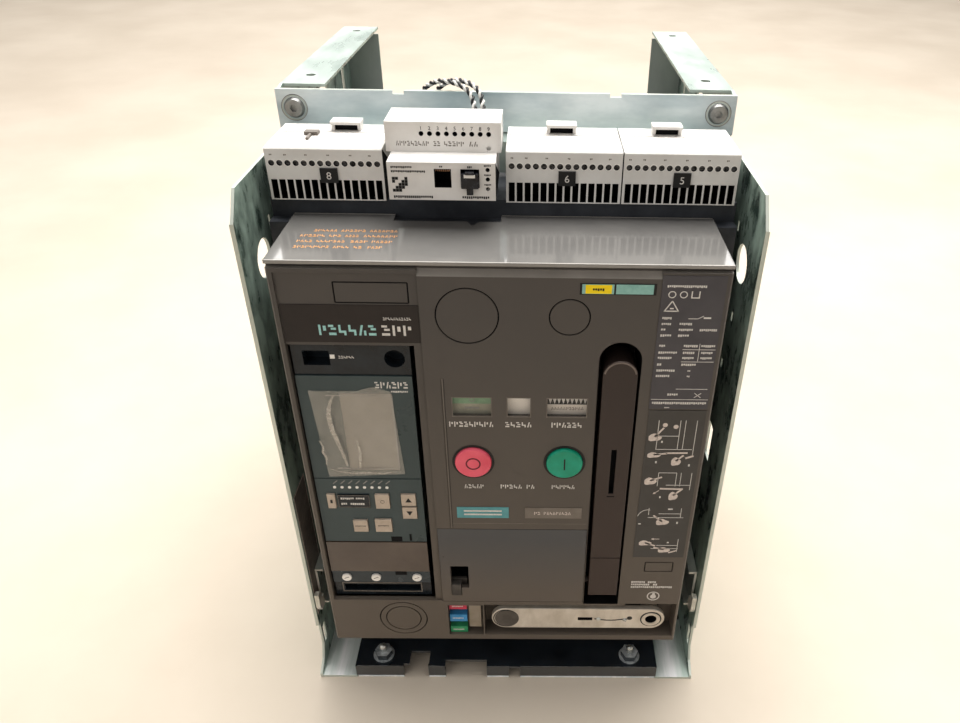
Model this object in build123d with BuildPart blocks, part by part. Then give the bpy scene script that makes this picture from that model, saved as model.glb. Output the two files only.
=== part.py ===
"""Withdrawable three-pole air circuit breaker in its guide frame, in the connected position.

X points to the right, Y to the back and Z up. The origin is on the floor, below the middle of the
whole object. The front panel faces -Y. Lengths are in millimetres.
"""
import os
from math import cos, radians, sin

from build123d import *

# ---------------------------------------------------------------- driving dimensions
PANEL_FACE_Y = -224.75          # front surface of the breaker's panel

FRAME_HALF_WIDTH = 160.0        # outer faces of the guide frame's side plates
SHEET = 2.0                     # sheet thickness of the guide frame
FRAME_HEIGHT = 461.0
WALL_FRONT = 15.8               # depth of the side walls' front edge behind the panel face
WALL_BACK = 365.0
SHOULDER_Z = 430.0              # top of the side walls in front of the crossbar
CROSSBAR_DEPTH = 136.6
CROSSBAR_Z = (433.0, 460.5)
FLANGE_WIDTH = 31.5

PANEL_HALF_WIDTH = 139.0
PANEL_Z = (54.0, 394.3)
PANEL_DEPTH = 62.0
PANEL_WALL = 4.0
COVER_TOP_Z = 396.9
COVER_BACK = 72.0
LEDGE_Z = 391.8                 # ledge in front of and below the cover
SLOPE_X = (-49.9, 96.6)         # sloping edge of the ledge, between the plates

HOUSING_HALF_WIDTH = 153.5      # dark pole housing behind the panel
HOUSING_TOP_Z = 407.5
HOUSING_BACK = 296.0

POLES = (-90.0, 0.0, 90.0)      # centre lines of the three poles
BUS_WIDTH = 60.0
BUS_THICKNESS = 10.0
UPPER_BUS_Z = 290.0
LOWER_BUS_Z = 120.0
TERMINAL_END = 452.0            # back end of the main terminals

SHAFT_CENTRE = (150.0, 170.0)   # main shaft: depth behind the panel face, height
SHAFT_RADIUS = 9.0
ARM_PIVOT = (205.0, 135.0)
ARM_LENGTH = 145.0
ARM_OPEN_ANGLE = 18.0           # how far the contact arms lean forward when open
LINK_PIN_RADIUS = 3.0
LINK_PIN_REACH = 62.0           # from the arm pivot to the link pin
LEVER_REACH = 22.0              # from the shaft centre to the lever pin
LEVER_OPEN_ANGLE = -31.3
LINK_LENGTH = 39.3
LINK_OPEN_ANGLE = 64.3          # direction of the links from the lever pin when open

HANDLE_PIVOT = (9.0, 118.0)     # charging handle pivot: depth, height
HANDLE_CENTRE_X = 76.3
HANDLE_Z = (108.6, 329.0)
HANDLE_WIDTH = 22.4
HANDLE_PIN_RADIUS = 3.0

BUTTON_RADIUS = 12.6
OPEN_BUTTON = (-20.6, 244.7)    # x, z
CLOSE_BUTTON = (42.5, 244.7)

RUNNING_CLEARANCE = 0.05
GAP = 0.4                       # clearance around loose pieces

os.makedirs("parts", exist_ok=True)


# ---------------------------------------------------------------- helpers
def behind(depth):
    """Y of a plane that lies a depth behind the panel's front surface."""
    return PANEL_FACE_Y + depth


def block(x, depth, z, mode=Mode.ADD):
    """Rectangular block between pairs of x, depth and z limits."""
    centre = ((x[0] + x[1]) / 2, behind((depth[0] + depth[1]) / 2), (z[0] + z[1]) / 2)
    with Locations(centre):
        Box(x[1] - x[0], depth[1] - depth[0], z[1] - z[0], mode=mode)


def blocks(size, centres, mode=Mode.ADD):
    """Equal rectangular blocks at several centres given as x, depth and z."""
    with Locations([(x, behind(depth), z) for x, depth, z in centres]):
        Box(*size, mode=mode)


def rod_x(x, depth, z, radius, mode=Mode.ADD):
    """Cylinder along X between two x limits."""
    with Locations(Location(((x[0] + x[1]) / 2, behind(depth), z), (0, 90, 0))):
        Cylinder(radius, x[1] - x[0], mode=mode)


def rod_y(x, depth, z, radius, mode=Mode.ADD):
    """Cylinder along Y between two depth limits."""
    with Locations(Location((x, behind((depth[0] + depth[1]) / 2), z), (90, 0, 0))):
        Cylinder(radius, depth[1] - depth[0], mode=mode)


def rod_z(x, depth, z, radius, mode=Mode.ADD):
    """Cylinder along Z between two heights."""
    with Locations((x, behind(depth), (z[0] + z[1]) / 2)):
        Cylinder(radius, z[1] - z[0], mode=mode)


def side_plane(x):
    """Plane across X whose own axes are Y and Z."""
    return Plane(origin=(x, PANEL_FACE_Y, 0), x_dir=(0, 1, 0), z_dir=(1, 0, 0))


def front_plane(depth):
    """Plane facing forward whose own axes are X and Z."""
    return Plane(origin=(0, behind(depth), 0), x_dir=(1, 0, 0), z_dir=(0, -1, 0))


def finish(builder, name):
    """Label a finished piece and write it out."""
    builder.part.label = name
    export_step(builder.part, f"parts/{name}.step")


# ---------------------------------------------------------------- guide frame: side plates
FOOT_TOE = 1.5
FOOT_FRONT = 19.0
FRONT_FLANGE_Z = (49.0, 412.0)
FRONT_FLANGE_WIDTH = 0.7
TOP_FLANGE_FRONT = 150.0
FIXING_HOLE_RADIUS = 3.5
TOP_HOLES = ((144.5, 176.0), (144.5, 345.0))      # x, depth
FLOOR_HOLE_RADIUS = 4.5
FLOOR_HOLES = ((145.0, 71.0), (145.0, 310.0))
REAR_FLANGE_Z = (30.0, 455.0)
RAIL_Z = (64.0, 104.0)


def side_plate(side):
    """One folded side plate; side is -1 for the left one and 1 for the right one."""
    outer = side * FRAME_HALF_WIDTH
    flat = side * (FRAME_HALF_WIDTH - FLANGE_WIDTH)

    def span(a, b):
        return (min(a, b), max(a, b))

    with BuildSketch(side_plane(outer)) as outline:
        with BuildLine():
            Polyline(
                (FOOT_TOE, 0),
                (FOOT_TOE, 4),
                (13, 10),
                (FOOT_FRONT, 22),
                (FOOT_FRONT, FRONT_FLANGE_Z[0]),
                (WALL_FRONT, FRONT_FLANGE_Z[0]),
                (WALL_FRONT, FRONT_FLANGE_Z[1]),
                (29, SHOULDER_Z),
                (139.8, SHOULDER_Z),
                (139.8, FRAME_HEIGHT - 2),
                (TOP_FLANGE_FRONT, FRAME_HEIGHT),
                (WALL_BACK, FRAME_HEIGHT),
                (WALL_BACK, 0),
                close=True,
            )
        make_face()
    extrude(outline.sketch, amount=-side * SHEET)
    # openings in the wall
    wall = span(outer + side, outer - side * (SHEET + 1))
    rod_x(wall, 54.5, 372.0, 13.3, mode=Mode.SUBTRACT)
    for depth, z, width, height in (
        (76.0, 390.0, 3.0, 7.0),
        (56.0, 331.0, 3.0, 7.0),
        (62.0, 288.6, 3.0, 7.0),
        (62.0, 216.0, 14.0, 32.0),
        (25.0, 30.0, 6.0, 20.0),
        (330.0, 424.0, 9.0, 34.0),
        (300.0, 300.0, 9.0, 60.0),
        (250.0, 430.0, 40.0, 9.0),
    ):
        block(wall, (depth - width / 2, depth + width / 2), (z - height / 2, z + height / 2), Mode.SUBTRACT)
    # folded edges: front edge outward, top, bottom and back edges inward
    lip = span(outer - side * SHEET, outer + side * FRONT_FLANGE_WIDTH)
    block(lip, (WALL_FRONT, WALL_FRONT + SHEET), FRONT_FLANGE_Z)
    inward = span(outer, flat)
    block(inward, (TOP_FLANGE_FRONT, WALL_BACK), (FRAME_HEIGHT - SHEET, FRAME_HEIGHT))
    block(inward, (FOOT_TOE, WALL_BACK), (0, SHEET))
    block(inward, (WALL_BACK - SHEET, WALL_BACK), REAR_FLANGE_Z)
    block(span(outer, outer - side * 26), (139.8, 139.8 + SHEET), (CROSSBAR_Z[0] + 0.5, 459))
    for x, depth in TOP_HOLES:
        rod_z(side * x, depth, (FRAME_HEIGHT - 5, FRAME_HEIGHT + 1), FIXING_HOLE_RADIUS, Mode.SUBTRACT)
    for x, depth in FLOOR_HOLES:
        rod_z(side * x, depth, (-1, 5), FLOOR_HOLE_RADIUS, Mode.SUBTRACT)


with BuildPart() as left_side_plate:
    side_plate(-1)
finish(left_side_plate, "left_side_plate")

with BuildPart() as right_side_plate:
    side_plate(1)
finish(right_side_plate, "right_side_plate")

# ---------------------------------------------------------------- guide frame: cross members
MEMBER_HALF_WIDTH = 129.0
MEMBER_TOP_Z = 14.5
MEMBER_BACK = 80.0
MEMBER_END_FRONT = 62.0
MEMBER_SHEET = 2.5

with BuildPart() as front_cross_member:
    width = (-MEMBER_HALF_WIDTH, MEMBER_HALF_WIDTH)
    block(width, (2, MEMBER_BACK), (MEMBER_TOP_Z - MEMBER_SHEET, MEMBER_TOP_Z))
    # folded lips along the front edge and a full-width fold at the back
    for lip_x in ((-127.5, -88.0), (-66.9, -52.2), (-16.9, 2.1), (11.6, 128.0)):
        block(lip_x, (2, 2 + MEMBER_SHEET), (0, MEMBER_TOP_Z))
    block(width, (MEMBER_BACK - MEMBER_SHEET, MEMBER_BACK), (SHEET, MEMBER_TOP_Z))
    # end flanges that rest on the side plates' bottom flanges
    for side in (-1, 1):
        ends = sorted((side * MEMBER_HALF_WIDTH, side * (FRAME_HALF_WIDTH - SHEET)))
        block(ends, (MEMBER_END_FRONT, MEMBER_BACK), (SHEET, SHEET + MEMBER_SHEET))
        wall = sorted((side * MEMBER_HALF_WIDTH, side * (MEMBER_HALF_WIDTH - MEMBER_SHEET)))
        block(wall, (2, MEMBER_BACK), (SHEET, MEMBER_TOP_Z))
        rod_z(side * FLOOR_HOLES[0][0], FLOOR_HOLES[0][1], (SHEET - 1, 6), FLOOR_HOLE_RADIUS, Mode.SUBTRACT)
        rod_z(side * 106.0, 13.0, (MEMBER_TOP_Z - 4, MEMBER_TOP_Z + 1), 4.2, Mode.SUBTRACT)
    # window in the top web
    block((-83, -66.5), (4.5, 17), (MEMBER_TOP_Z - 4, MEMBER_TOP_Z + 1), Mode.SUBTRACT)
    block((-52.5, -17), (-1, 8.5), (MEMBER_TOP_Z - 4, MEMBER_TOP_Z + 1), Mode.SUBTRACT)
    block((-88, -67), (-1, 4.5), (MEMBER_TOP_Z - 4, MEMBER_TOP_Z + 1), Mode.SUBTRACT)
finish(front_cross_member, "front_cross_member")

with BuildPart() as base_bolts:
    for side in (-1, 1):
        rod_z(side * 106.0, 13.0, (2.5, MEMBER_TOP_Z), 4.0)
        rod_z(side * 106.0, 13.0, (MEMBER_TOP_Z, MEMBER_TOP_Z + 1.6), 9.0)
        with BuildSketch(Plane.XY.offset(MEMBER_TOP_Z + 1.6)):
            with Locations((side * 106.0, behind(13.0))):
                RegularPolygon(7.5, 6)
        extrude(amount=5.5)
finish(base_bolts, "base_bolts")

with BuildPart() as rear_cross_member:
    block((-128, 128), (320, 340), (SHEET + 0.1, SHEET + 2.6))
    block((-128, 128), (337.5, 340), (SHEET + 0.1, 42))
    for side in (-1, 1):
        ends = sorted((side * 128, side * (FRAME_HALF_WIDTH - SHEET)))
        block(ends, (320, 340), (SHEET, SHEET + 2.6))
finish(rear_cross_member, "rear_cross_member")

with BuildPart() as top_crossbar:
    block((-FRAME_HALF_WIDTH, FRAME_HALF_WIDTH), (CROSSBAR_DEPTH, CROSSBAR_DEPTH + 3), CROSSBAR_Z)
    cut_depth = (CROSSBAR_DEPTH - 1, CROSSBAR_DEPTH + 4)
    for x in (-75.3, 75.4):
        block((x - 4, x + 4), cut_depth, (CROSSBAR_Z[1] - 2.5, 462), Mode.SUBTRACT)
    for side in (-1, 1):
        rod_y(side * 148.0, cut_depth, 448.0, 4.0, Mode.SUBTRACT)
finish(top_crossbar, "top_crossbar")

with BuildPart() as crossbar_screws:
    for side in (-1, 1):
        x = side * 148.0
        with BuildSketch(front_plane(CROSSBAR_DEPTH)):
            with Locations((x, 448.0)):
                Circle(7.2)
        extrude(amount=2.4, taper=30)
        rod_y(x, (CROSSBAR_DEPTH, CROSSBAR_DEPTH + 3), 448.0, 3.9)
        with BuildSketch(front_plane(CROSSBAR_DEPTH - 2.5)):
            with Locations((x, 448.0)):
                RegularPolygon(2.6, 6)
        extrude(amount=-2.0, mode=Mode.SUBTRACT)
finish(crossbar_screws, "crossbar_screws")

# ---------------------------------------------------------------- guide frame: rear contacts
REAR_HOUSING = (300.0, 362.0)
REAR_HOUSING_Z = (45.0, 395.0)
POCKET = (78.0, 74.0, 54.0)     # width, height, depth

with BuildPart() as rear_contact_housing:
    block((-157, 157), REAR_HOUSING, REAR_HOUSING_Z)
    for x in POLES:
        for z in (LOWER_BUS_Z, UPPER_BUS_Z):
            block(
                (x - POCKET[0] / 2, x + POCKET[0] / 2),
                (REAR_HOUSING[0] - 1, REAR_HOUSING[0] + POCKET[2]),
                (z - POCKET[1] / 2, z + POCKET[1] / 2),
                Mode.SUBTRACT,
            )
            block(
                (x - BUS_WIDTH / 2, x + BUS_WIDTH / 2),
                (REAR_HOUSING[0], REAR_HOUSING[1] + 1),
                (z - BUS_THICKNESS / 2, z + BUS_THICKNESS / 2),
                Mode.SUBTRACT,
            )
    # ribs between the terminals at the back
    for x in (-45.0, 45.0):
        block((x - 3, x + 3), (REAR_HOUSING[1] - 1, 400), (70, 350))
finish(rear_contact_housing, "rear_contact_housing")

TERMINAL_HOLE_RADIUS = 6.75
TERMINAL_HOLE_DEPTHS = (398.0, 434.0)


with BuildPart() as main_terminals:
    # six flat copper bars from inside the contact pockets to the back
    for x in POLES:
        for z in (LOWER_BUS_Z, UPPER_BUS_Z):
            block(
                (x - BUS_WIDTH / 2, x + BUS_WIDTH / 2),
                (322, TERMINAL_END),
                (z - BUS_THICKNESS / 2, z + BUS_THICKNESS / 2),
            )
            for depth in TERMINAL_HOLE_DEPTHS:
                rod_z(x, depth, (z - 8, z + 8), TERMINAL_HOLE_RADIUS, Mode.SUBTRACT)
finish(main_terminals, "main_terminals")

# ---------------------------------------------------------------- guide frame: terminal row
TERMINAL_FACE = 66.0            # depth of the terminal blocks' front
TERMINAL_Z = (408.3, 442.4)
TERMINAL_SCREW_Z = 432.7
TERMINAL_BACK = 118.0
TERMINAL_WIDTH = 74.0
TERMINAL_PITCH = 5.13
SCREWS_PER_BLOCK = 14
TERMINAL_CENTRES = (-113.2, 38.4, 113.2)

with BuildPart() as terminal_carrier:
    # plate behind the blocks, shelf below the crossbar and flange behind the crossbar
    block((-152, 152), (TERMINAL_BACK, TERMINAL_BACK + 3), (410, 432))
    block((-133, 133), (TERMINAL_BACK + 3, CROSSBAR_DEPTH + 6), (429, 432))
    block((-133, 133), (CROSSBAR_DEPTH + 3, CROSSBAR_DEPTH + 6), (429, 452))
finish(terminal_carrier, "terminal_carrier")


def screw_places(centre):
    """Positions of a terminal block's screws along X."""
    first = centre - (SCREWS_PER_BLOCK - 1) / 2 * TERMINAL_PITCH
    return [first + index * TERMINAL_PITCH for index in range(SCREWS_PER_BLOCK)]


def terminal_block(centre):
    """Screw terminal block with wire slots and screw holes."""
    half = TERMINAL_WIDTH / 2
    with BuildSketch(side_plane(centre - half)) as outline:
        with BuildLine():
            Polyline(
                (TERMINAL_FACE, TERMINAL_Z[0]),
                (TERMINAL_FACE, TERMINAL_Z[1] - 0.8),
                (TERMINAL_FACE + 0.8, TERMINAL_Z[1]),
                (TERMINAL_BACK, TERMINAL_Z[1]),
                (TERMINAL_BACK, TERMINAL_Z[0]),
                close=True,
            )
        make_face()
    extrude(outline.sketch, amount=TERMINAL_WIDTH)
    places = screw_places(centre)
    blocks((3.9, 14, 12.8), [(x, TERMINAL_FACE + 5, 415.5) for x in places], Mode.SUBTRACT)
    centres = [(x, behind(TERMINAL_FACE + 1), TERMINAL_SCREW_Z) for x in places]
    with Locations([Location(point, (90, 0, 0)) for point in centres]):
        Cylinder(2.0, 4.0, mode=Mode.SUBTRACT)


with BuildPart() as terminal_blocks:
    for centre in TERMINAL_CENTRES:
        terminal_block(centre)
finish(terminal_blocks, "terminal_blocks")

with BuildPart() as terminal_screws:
    for centre in TERMINAL_CENTRES:
        places = screw_places(centre)
        centres = [(x, behind(TERMINAL_FACE + 2.1), TERMINAL_SCREW_Z) for x in places]
        with Locations([Location(point, (90, 0, 0)) for point in centres]):
            Cylinder(1.7, 1.8)
        blocks((2.6, 1.0, 0.5), [(x, TERMINAL_FACE + 1.2, TERMINAL_SCREW_Z) for x in places], Mode.SUBTRACT)
finish(terminal_screws, "terminal_screws")

# ---------------------------------------------------------------- communication module
MODULE_X = (-73.6, -1.4)
LOWER_MODULE_X = (-70.4, -4.2)
LOWER_MODULE_FRONT = 47.0
MODULE_TOP_Z = 459.5
LOWER_MODULE_TOP_Z = 440.8
MODULE_BOTTOM_Z = 416.8
JACKS = ((-41.8, -31.4), (-25.6, -14.2))
JACK_Z = (425.0, 436.8)

with BuildPart() as module_upper_housing:
    block(MODULE_X, (67, 98), (LOWER_MODULE_TOP_Z, MODULE_TOP_Z))
    for index in range(9):
        rod_y(-51.0 + index * 5.24, (66, 69.5), 452.3, 1.5, Mode.SUBTRACT)
    rod_y(-9.2, (66, 69), 443.4, 1.4, Mode.SUBTRACT)
finish(module_upper_housing, "module_upper_housing")

with BuildPart() as module_lower_housing:
    block(LOWER_MODULE_X, (LOWER_MODULE_FRONT, 98), (MODULE_BOTTOM_Z, LOWER_MODULE_TOP_Z))
    for jack in JACKS:
        block(jack, (LOWER_MODULE_FRONT - 1, LOWER_MODULE_FRONT + 13), JACK_Z, Mode.SUBTRACT)
    for z in (424.4, 430.6, 436.6):
        rod_y(-9.0, (LOWER_MODULE_FRONT - 1, LOWER_MODULE_FRONT + 2.5), z, 1.3, Mode.SUBTRACT)
finish(module_lower_housing, "module_lower_housing")

with BuildPart() as network_plug:
    block((-25.2, -14.6), (LOWER_MODULE_FRONT - 3, LOWER_MODULE_FRONT + 12.5), (425.4, 434.8))
    block((-22.6, -17.2), (LOWER_MODULE_FRONT - 4.5, LOWER_MODULE_FRONT + 6), (434.8, 436.0))
    block((-22.0, -18.0), (LOWER_MODULE_FRONT - 3, LOWER_MODULE_FRONT - 1.0), (421.4, 425.4))
finish(network_plug, "network_plug")

WIRE_RADIUS = 2.0


def wire_pair(points, radii):
    """One twisted pair as a plain round bundle along straight runs and arcs."""
    with BuildLine() as route:
        FilletPolyline(*[(x, behind(depth), z) for x, depth, z in points], radius=radii)
    with BuildSketch(Plane(origin=route.line @ 0, z_dir=route.line % 0)) as section:
        Circle(WIRE_RADIUS)
    sweep(section.sketch, path=route.line)


RIGHT_ROUTE = [
    (-14.0, 98.0, 450.0), (-14.0, 108.0, 450.0), (-18.0, 128.0, 468.0), (-46.0, 152.0, 466.0),
    (-66.0, 176.0, 430.0), (-46.0, 312.0, 422.0), (-46.0, 312.0, 395.02),
]
LEFT_ROUTE = [
    (-19.5, 98.0, 450.0), (-19.5, 108.5, 450.0), (-24.5, 129.0, 466.5), (-56.0, 150.0, 466.5),
    (-76.0, 172.0, 430.0), (-56.0, 312.0, 422.0), (-56.0, 312.0, 395.02),
]
WIRE_BENDS = [4.0, 11.0, 13.0, 16.0, 10.0]

with BuildPart() as wire_pairs:
    wire_pair(RIGHT_ROUTE, WIRE_BENDS)
    wire_pair(LEFT_ROUTE, WIRE_BENDS)
finish(wire_pairs, "wire_pairs")

# ---------------------------------------------------------------- guide frame: draw-out rails
RAIL_X = (150.4, 157.2)
RAIL_FRONT = 16.0
RAIL_BACK = 292.0


def draw_out_rail(side):
    """Folded rail with a hooked front end, carried on the inside of a side plate."""
    inner, outer = RAIL_X
    sheet = 1.8
    back = sorted((side * outer, side * (outer - sheet)))
    full = sorted((side * inner, side * outer))
    block(back, (RAIL_FRONT + 12, RAIL_BACK), RAIL_Z)
    block(full, (RAIL_FRONT + 12, RAIL_BACK), (RAIL_Z[0], RAIL_Z[0] + sheet))
    block(full, (RAIL_FRONT + 12, RAIL_BACK), (RAIL_Z[1] - sheet, RAIL_Z[1]))
    with BuildSketch(side_plane(side * outer)) as hook:
        with BuildLine():
            Polyline(
                (RAIL_FRONT + 12, RAIL_Z[0]),
                (RAIL_FRONT + 3, RAIL_Z[0] + 2),
                (RAIL_FRONT, RAIL_Z[0] + 8),
                (RAIL_FRONT, RAIL_Z[0] + 22),
                (RAIL_FRONT + 5, RAIL_Z[0] + 22),
                (RAIL_FRONT + 7, RAIL_Z[0] + 12),
                (RAIL_FRONT + 12, RAIL_Z[0] + 12),
                close=True,
            )
        make_face()
    extrude(hook.sketch, amount=-side * sheet * 2)


with BuildPart() as left_draw_out_rail:
    draw_out_rail(-1)
finish(left_draw_out_rail, "left_draw_out_rail")

with BuildPart() as right_draw_out_rail:
    draw_out_rail(1)
finish(right_draw_out_rail, "right_draw_out_rail")

# ---------------------------------------------------------------- breaker: front panel
TRIP_OPENING_X = (-135.3, -55.0)
TRIP_OPENING_Z = (101.0, 338.0)
WINDOWS = ((-33.4, -6.9), (2.9, 19.0), (29.2, 56.4))     # contacts, ready, spring: x limits
WINDOW_Z = (283.4, 299.6)
HANDLE_SLOT_X = (62.0, 89.4)
HANDLE_SLOT_BOTTOM_Z = 98.0
HANDLE_SLOT_TOP_Z = 343.0
CRANK_POCKET_X = (-17.0, 136.6)
STRIP_POCKET_Z = (59.3, 96.0)
SCALE_POCKET_X = (-46.0, -18.0)
LOWER_COVER_X = (-49.9, 61.6)
LOWER_COVER_Z = (99.9, 180.0)
GROOVE_WIDTH = 0.9
GROOVE_DEPTH = 0.7
LATCH_HOLE = ((-41.8, -28.0), (116.0, 140.0))
LATCH_SLOT = ((-41.8, -33.8), (107.5, 117.0))


def ring_groove(x, z, radius, face):
    """Round score line in a front surface."""
    with BuildSketch(front_plane(face)) as ring:
        with Locations((x, z)):
            Circle(radius)
            Circle(radius - GROOVE_WIDTH, mode=Mode.SUBTRACT)
    extrude(ring.sketch, amount=-GROOVE_DEPTH, mode=Mode.SUBTRACT)


def frame_groove(x, z, face):
    """Rectangular score line in a front surface."""
    with BuildSketch(front_plane(face)) as outline:
        with Locations(((x[0] + x[1]) / 2, (z[0] + z[1]) / 2)):
            RectangleRounded(x[1] - x[0], z[1] - z[0], 1.0)
            Rectangle(x[1] - x[0] - 2 * GROOVE_WIDTH, z[1] - z[0] - 2 * GROOVE_WIDTH, mode=Mode.SUBTRACT)
    extrude(outline.sketch, amount=-GROOVE_DEPTH, mode=Mode.SUBTRACT)


def arched_slot(x, z_bottom, z_top, depth, mode):
    """Slot with a round top end, cut or added from just in front of the panel face."""
    width = x[1] - x[0]
    middle = (x[0] + x[1]) / 2
    with BuildSketch(front_plane(depth[0])) as slot:
        with Locations((middle, (z_bottom + z_top - width / 2) / 2)):
            Rectangle(width, z_top - width / 2 - z_bottom)
        with Locations((middle, z_top - width / 2)):
            Circle(width / 2)
    extrude(slot.sketch, amount=depth[0] - depth[1], mode=mode)


with BuildPart() as front_panel:
    block((-PANEL_HALF_WIDTH, PANEL_HALF_WIDTH), (0, PANEL_DEPTH), PANEL_Z)
    vertical_front_edges = front_panel.edges().filter_by(Axis.Z).group_by(Axis.Y)[0]
    chamfer(vertical_front_edges, 1.2)
    block((-136, 136), (PANEL_WALL, PANEL_DEPTH + 1), (PANEL_Z[0] + 3, PANEL_Z[1] - 3), Mode.SUBTRACT)
    # ledge below the top cover, sloping edge in the middle and the lower-lying left column
    block((-140, 140), (-1, 3.5), (LEDGE_Z, 395), Mode.SUBTRACT)
    with BuildSketch(side_plane(SLOPE_X[0])) as slope:
        with BuildLine():
            Polyline((-1, 387.2), (0, 387.6), (3.0, LEDGE_Z), (-1, LEDGE_Z), close=True)
        make_face()
    extrude(slope.sketch, amount=SLOPE_X[1] - SLOPE_X[0], mode=Mode.SUBTRACT)
    block((TRIP_OPENING_X[0], -49.9), (-1, 1.5), (101.0, 389.0), Mode.SUBTRACT)
    # well of the charging handle, tray of the crank and of the position indicator
    block((58.5, 93), (0, 36), (94.5, 347))
    block((-49, 139), (PANEL_WALL - 1, 20), (54, 99.5))
    block((93, 139), (PANEL_WALL - 1, 20), (99.4, 101.2))
    arched_slot(HANDLE_SLOT_X, HANDLE_SLOT_BOTTOM_Z, HANDLE_SLOT_TOP_Z, (-1, 33), Mode.SUBTRACT)
    pin_bore = HANDLE_PIN_RADIUS + RUNNING_CLEARANCE
    rod_x((HANDLE_SLOT_X[0] - 2.8, HANDLE_SLOT_X[1] + 2.8), *HANDLE_PIVOT, pin_bore, Mode.SUBTRACT)
    block(CRANK_POCKET_X, (-1, 15), STRIP_POCKET_Z, Mode.SUBTRACT)
    block((95.5, CRANK_POCKET_X[1]), (-1, 15), (STRIP_POCKET_Z[1] - 1, 98.4), Mode.SUBTRACT)
    rod_y(118.0, (-1, 21), 77.7, 7.4, Mode.SUBTRACT)
    block(SCALE_POCKET_X, (-1, 8), (STRIP_POCKET_Z[0], 95.0), Mode.SUBTRACT)
    # openings for the trip unit, the indicators, the buttons and the locking slide
    block(TRIP_OPENING_X, (-1, 5), TRIP_OPENING_Z, Mode.SUBTRACT)
    for window in WINDOWS:
        block(window, (-1, 5), WINDOW_Z, Mode.SUBTRACT)
    for x, z in (OPEN_BUTTON, CLOSE_BUTTON):
        rod_y(x, (-1, 5), z, BUTTON_RADIUS + GAP, Mode.SUBTRACT)
    block(LOWER_COVER_X, (-1, 2), LOWER_COVER_Z, Mode.SUBTRACT)
    block(LATCH_HOLE[0], (-1, 5), LATCH_HOLE[1], Mode.SUBTRACT)
    block(LATCH_SLOT[0], (-1, 5), LATCH_SLOT[1], Mode.SUBTRACT)
    # score lines of the knock-outs and the edge of the control field
    ring_groove(-20.8, 360.6, 19.8, 0)
    ring_groove(42.3, 360.6, 13.0, 0)
    ring_groove(-82.0, 79.4, 19.2, 0)
    ring_groove(-82.0, 79.4, 14.3, 0)
    frame_groove((-101.0, -55.5), (368.0, 382.8), 1.5)
    frame_groove((107.0, 129.2), (135.6, 146.2), 0)
    block((-39.6, -39.0), (-1, 0.5), (181.0, 314.0), Mode.SUBTRACT)
finish(front_panel, "front_panel")

with BuildPart() as top_cover:
    block((-PANEL_HALF_WIDTH, PANEL_HALF_WIDTH), (0, COVER_BACK), (PANEL_Z[1] + 0.4, COVER_TOP_Z))
    block((-72, -2), (61.0, COVER_BACK + 1), (PANEL_Z[1] - 1, COVER_TOP_Z + 1), Mode.SUBTRACT)
    with BuildSketch(Plane.XY.offset(PANEL_Z[1] - 1)):
        with BuildLine():
            Polyline((-24.0, behind(61.5)), (-16.0, behind(61.5)), (-20.0, behind(53.5)), close=True)
        make_face()
    extrude(amount=5, mode=Mode.SUBTRACT)
finish(top_cover, "top_cover")

with BuildPart() as lower_cover:
    block((LOWER_COVER_X[0] + GAP, LOWER_COVER_X[1] - GAP), (0, 1.8),
          (LOWER_COVER_Z[0] + GAP, LOWER_COVER_Z[1] - GAP))
    block(LATCH_HOLE[0], (-1, 5), LATCH_HOLE[1], Mode.SUBTRACT)
    block(LATCH_SLOT[0], (-1, 5), LATCH_SLOT[1], Mode.SUBTRACT)
finish(lower_cover, "lower_cover")

# ---------------------------------------------------------------- breaker: plates, labels, indicators
LABEL = 0.4

with BuildPart() as label_plates:
    block((-134.7, -50.4), (1.5 - LABEL, 1.5), (340.2, 367.0))
    block((96.8, 135.6), (-LABEL, 0), (292.2, 390.0))
    block((97.2, 135.6), (-LABEL, 0), (152.0, 290.8))
    block((-34.0, 3.5), (-LABEL, 0), (191.6, 202.0))
    block((15.3, 56.5), (-LABEL, 0), (191.6, 202.0))
    block((49.0, 68.2), (-LABEL, 0), (377.4, 383.8))
    block((69.4, 92.0), (-LABEL, 0), (377.4, 383.8))
finish(label_plates, "label_plates")

with BuildPart() as position_pointer:
    block((-29.4, -19.8), (2.0, 5.0), (67.0, 93.8))
    block((-27.0, -22.0), (5.0, 7.6), (72.0, 88.0))
finish(position_pointer, "position_pointer")

with BuildPart() as indicator_windows:
    for x0, x1 in WINDOWS:
        block((x0, x1), (1.0, 2.2), WINDOW_Z)
finish(indicator_windows, "indicator_windows")

FLAG_TRAVEL = 17.5


def flag(window):
    """Two-field flag behind an indicator window; the second field waits above the window."""
    block((window[0] - 1, window[1] + 1), (4.4, 5.6), (WINDOW_Z[0] - 0.6, WINDOW_Z[1] + FLAG_TRAVEL))
    block((window[0] + 3, window[1] - 3), (5.6, 12.0), (WINDOW_Z[1] + 4, WINDOW_Z[1] + 8))


with BuildPart() as contact_flag:
    flag(WINDOWS[0])
finish(contact_flag, "contact_flag")

with BuildPart() as ready_flag:
    flag(WINDOWS[1])
finish(ready_flag, "ready_flag")

with BuildPart() as spring_flag:
    flag(WINDOWS[2])
finish(spring_flag, "spring_flag")

# ---------------------------------------------------------------- breaker: buttons and their levers
STEM_END = 34.0
LEVER_PIVOT_DEPTH = 50.0
LEVER_PIVOT_Z = OPEN_BUTTON[1] - 12.7
LEVER_PIN_RADIUS = 2.0


def push_button(x, z):
    """Round push button with a stem that narrows to its tip."""
    rod_y(x, (-2.5, 6), z, BUTTON_RADIUS)
    rod_y(x, (6, 26), z, 5.0)
    rod_y(x, (26, STEM_END), z, 1.5)


with BuildPart() as open_button:
    push_button(*OPEN_BUTTON)
    fillet(open_button.faces().sort_by(Axis.Y)[0].edges(), 1.2)
finish(open_button, "open_button")

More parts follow.
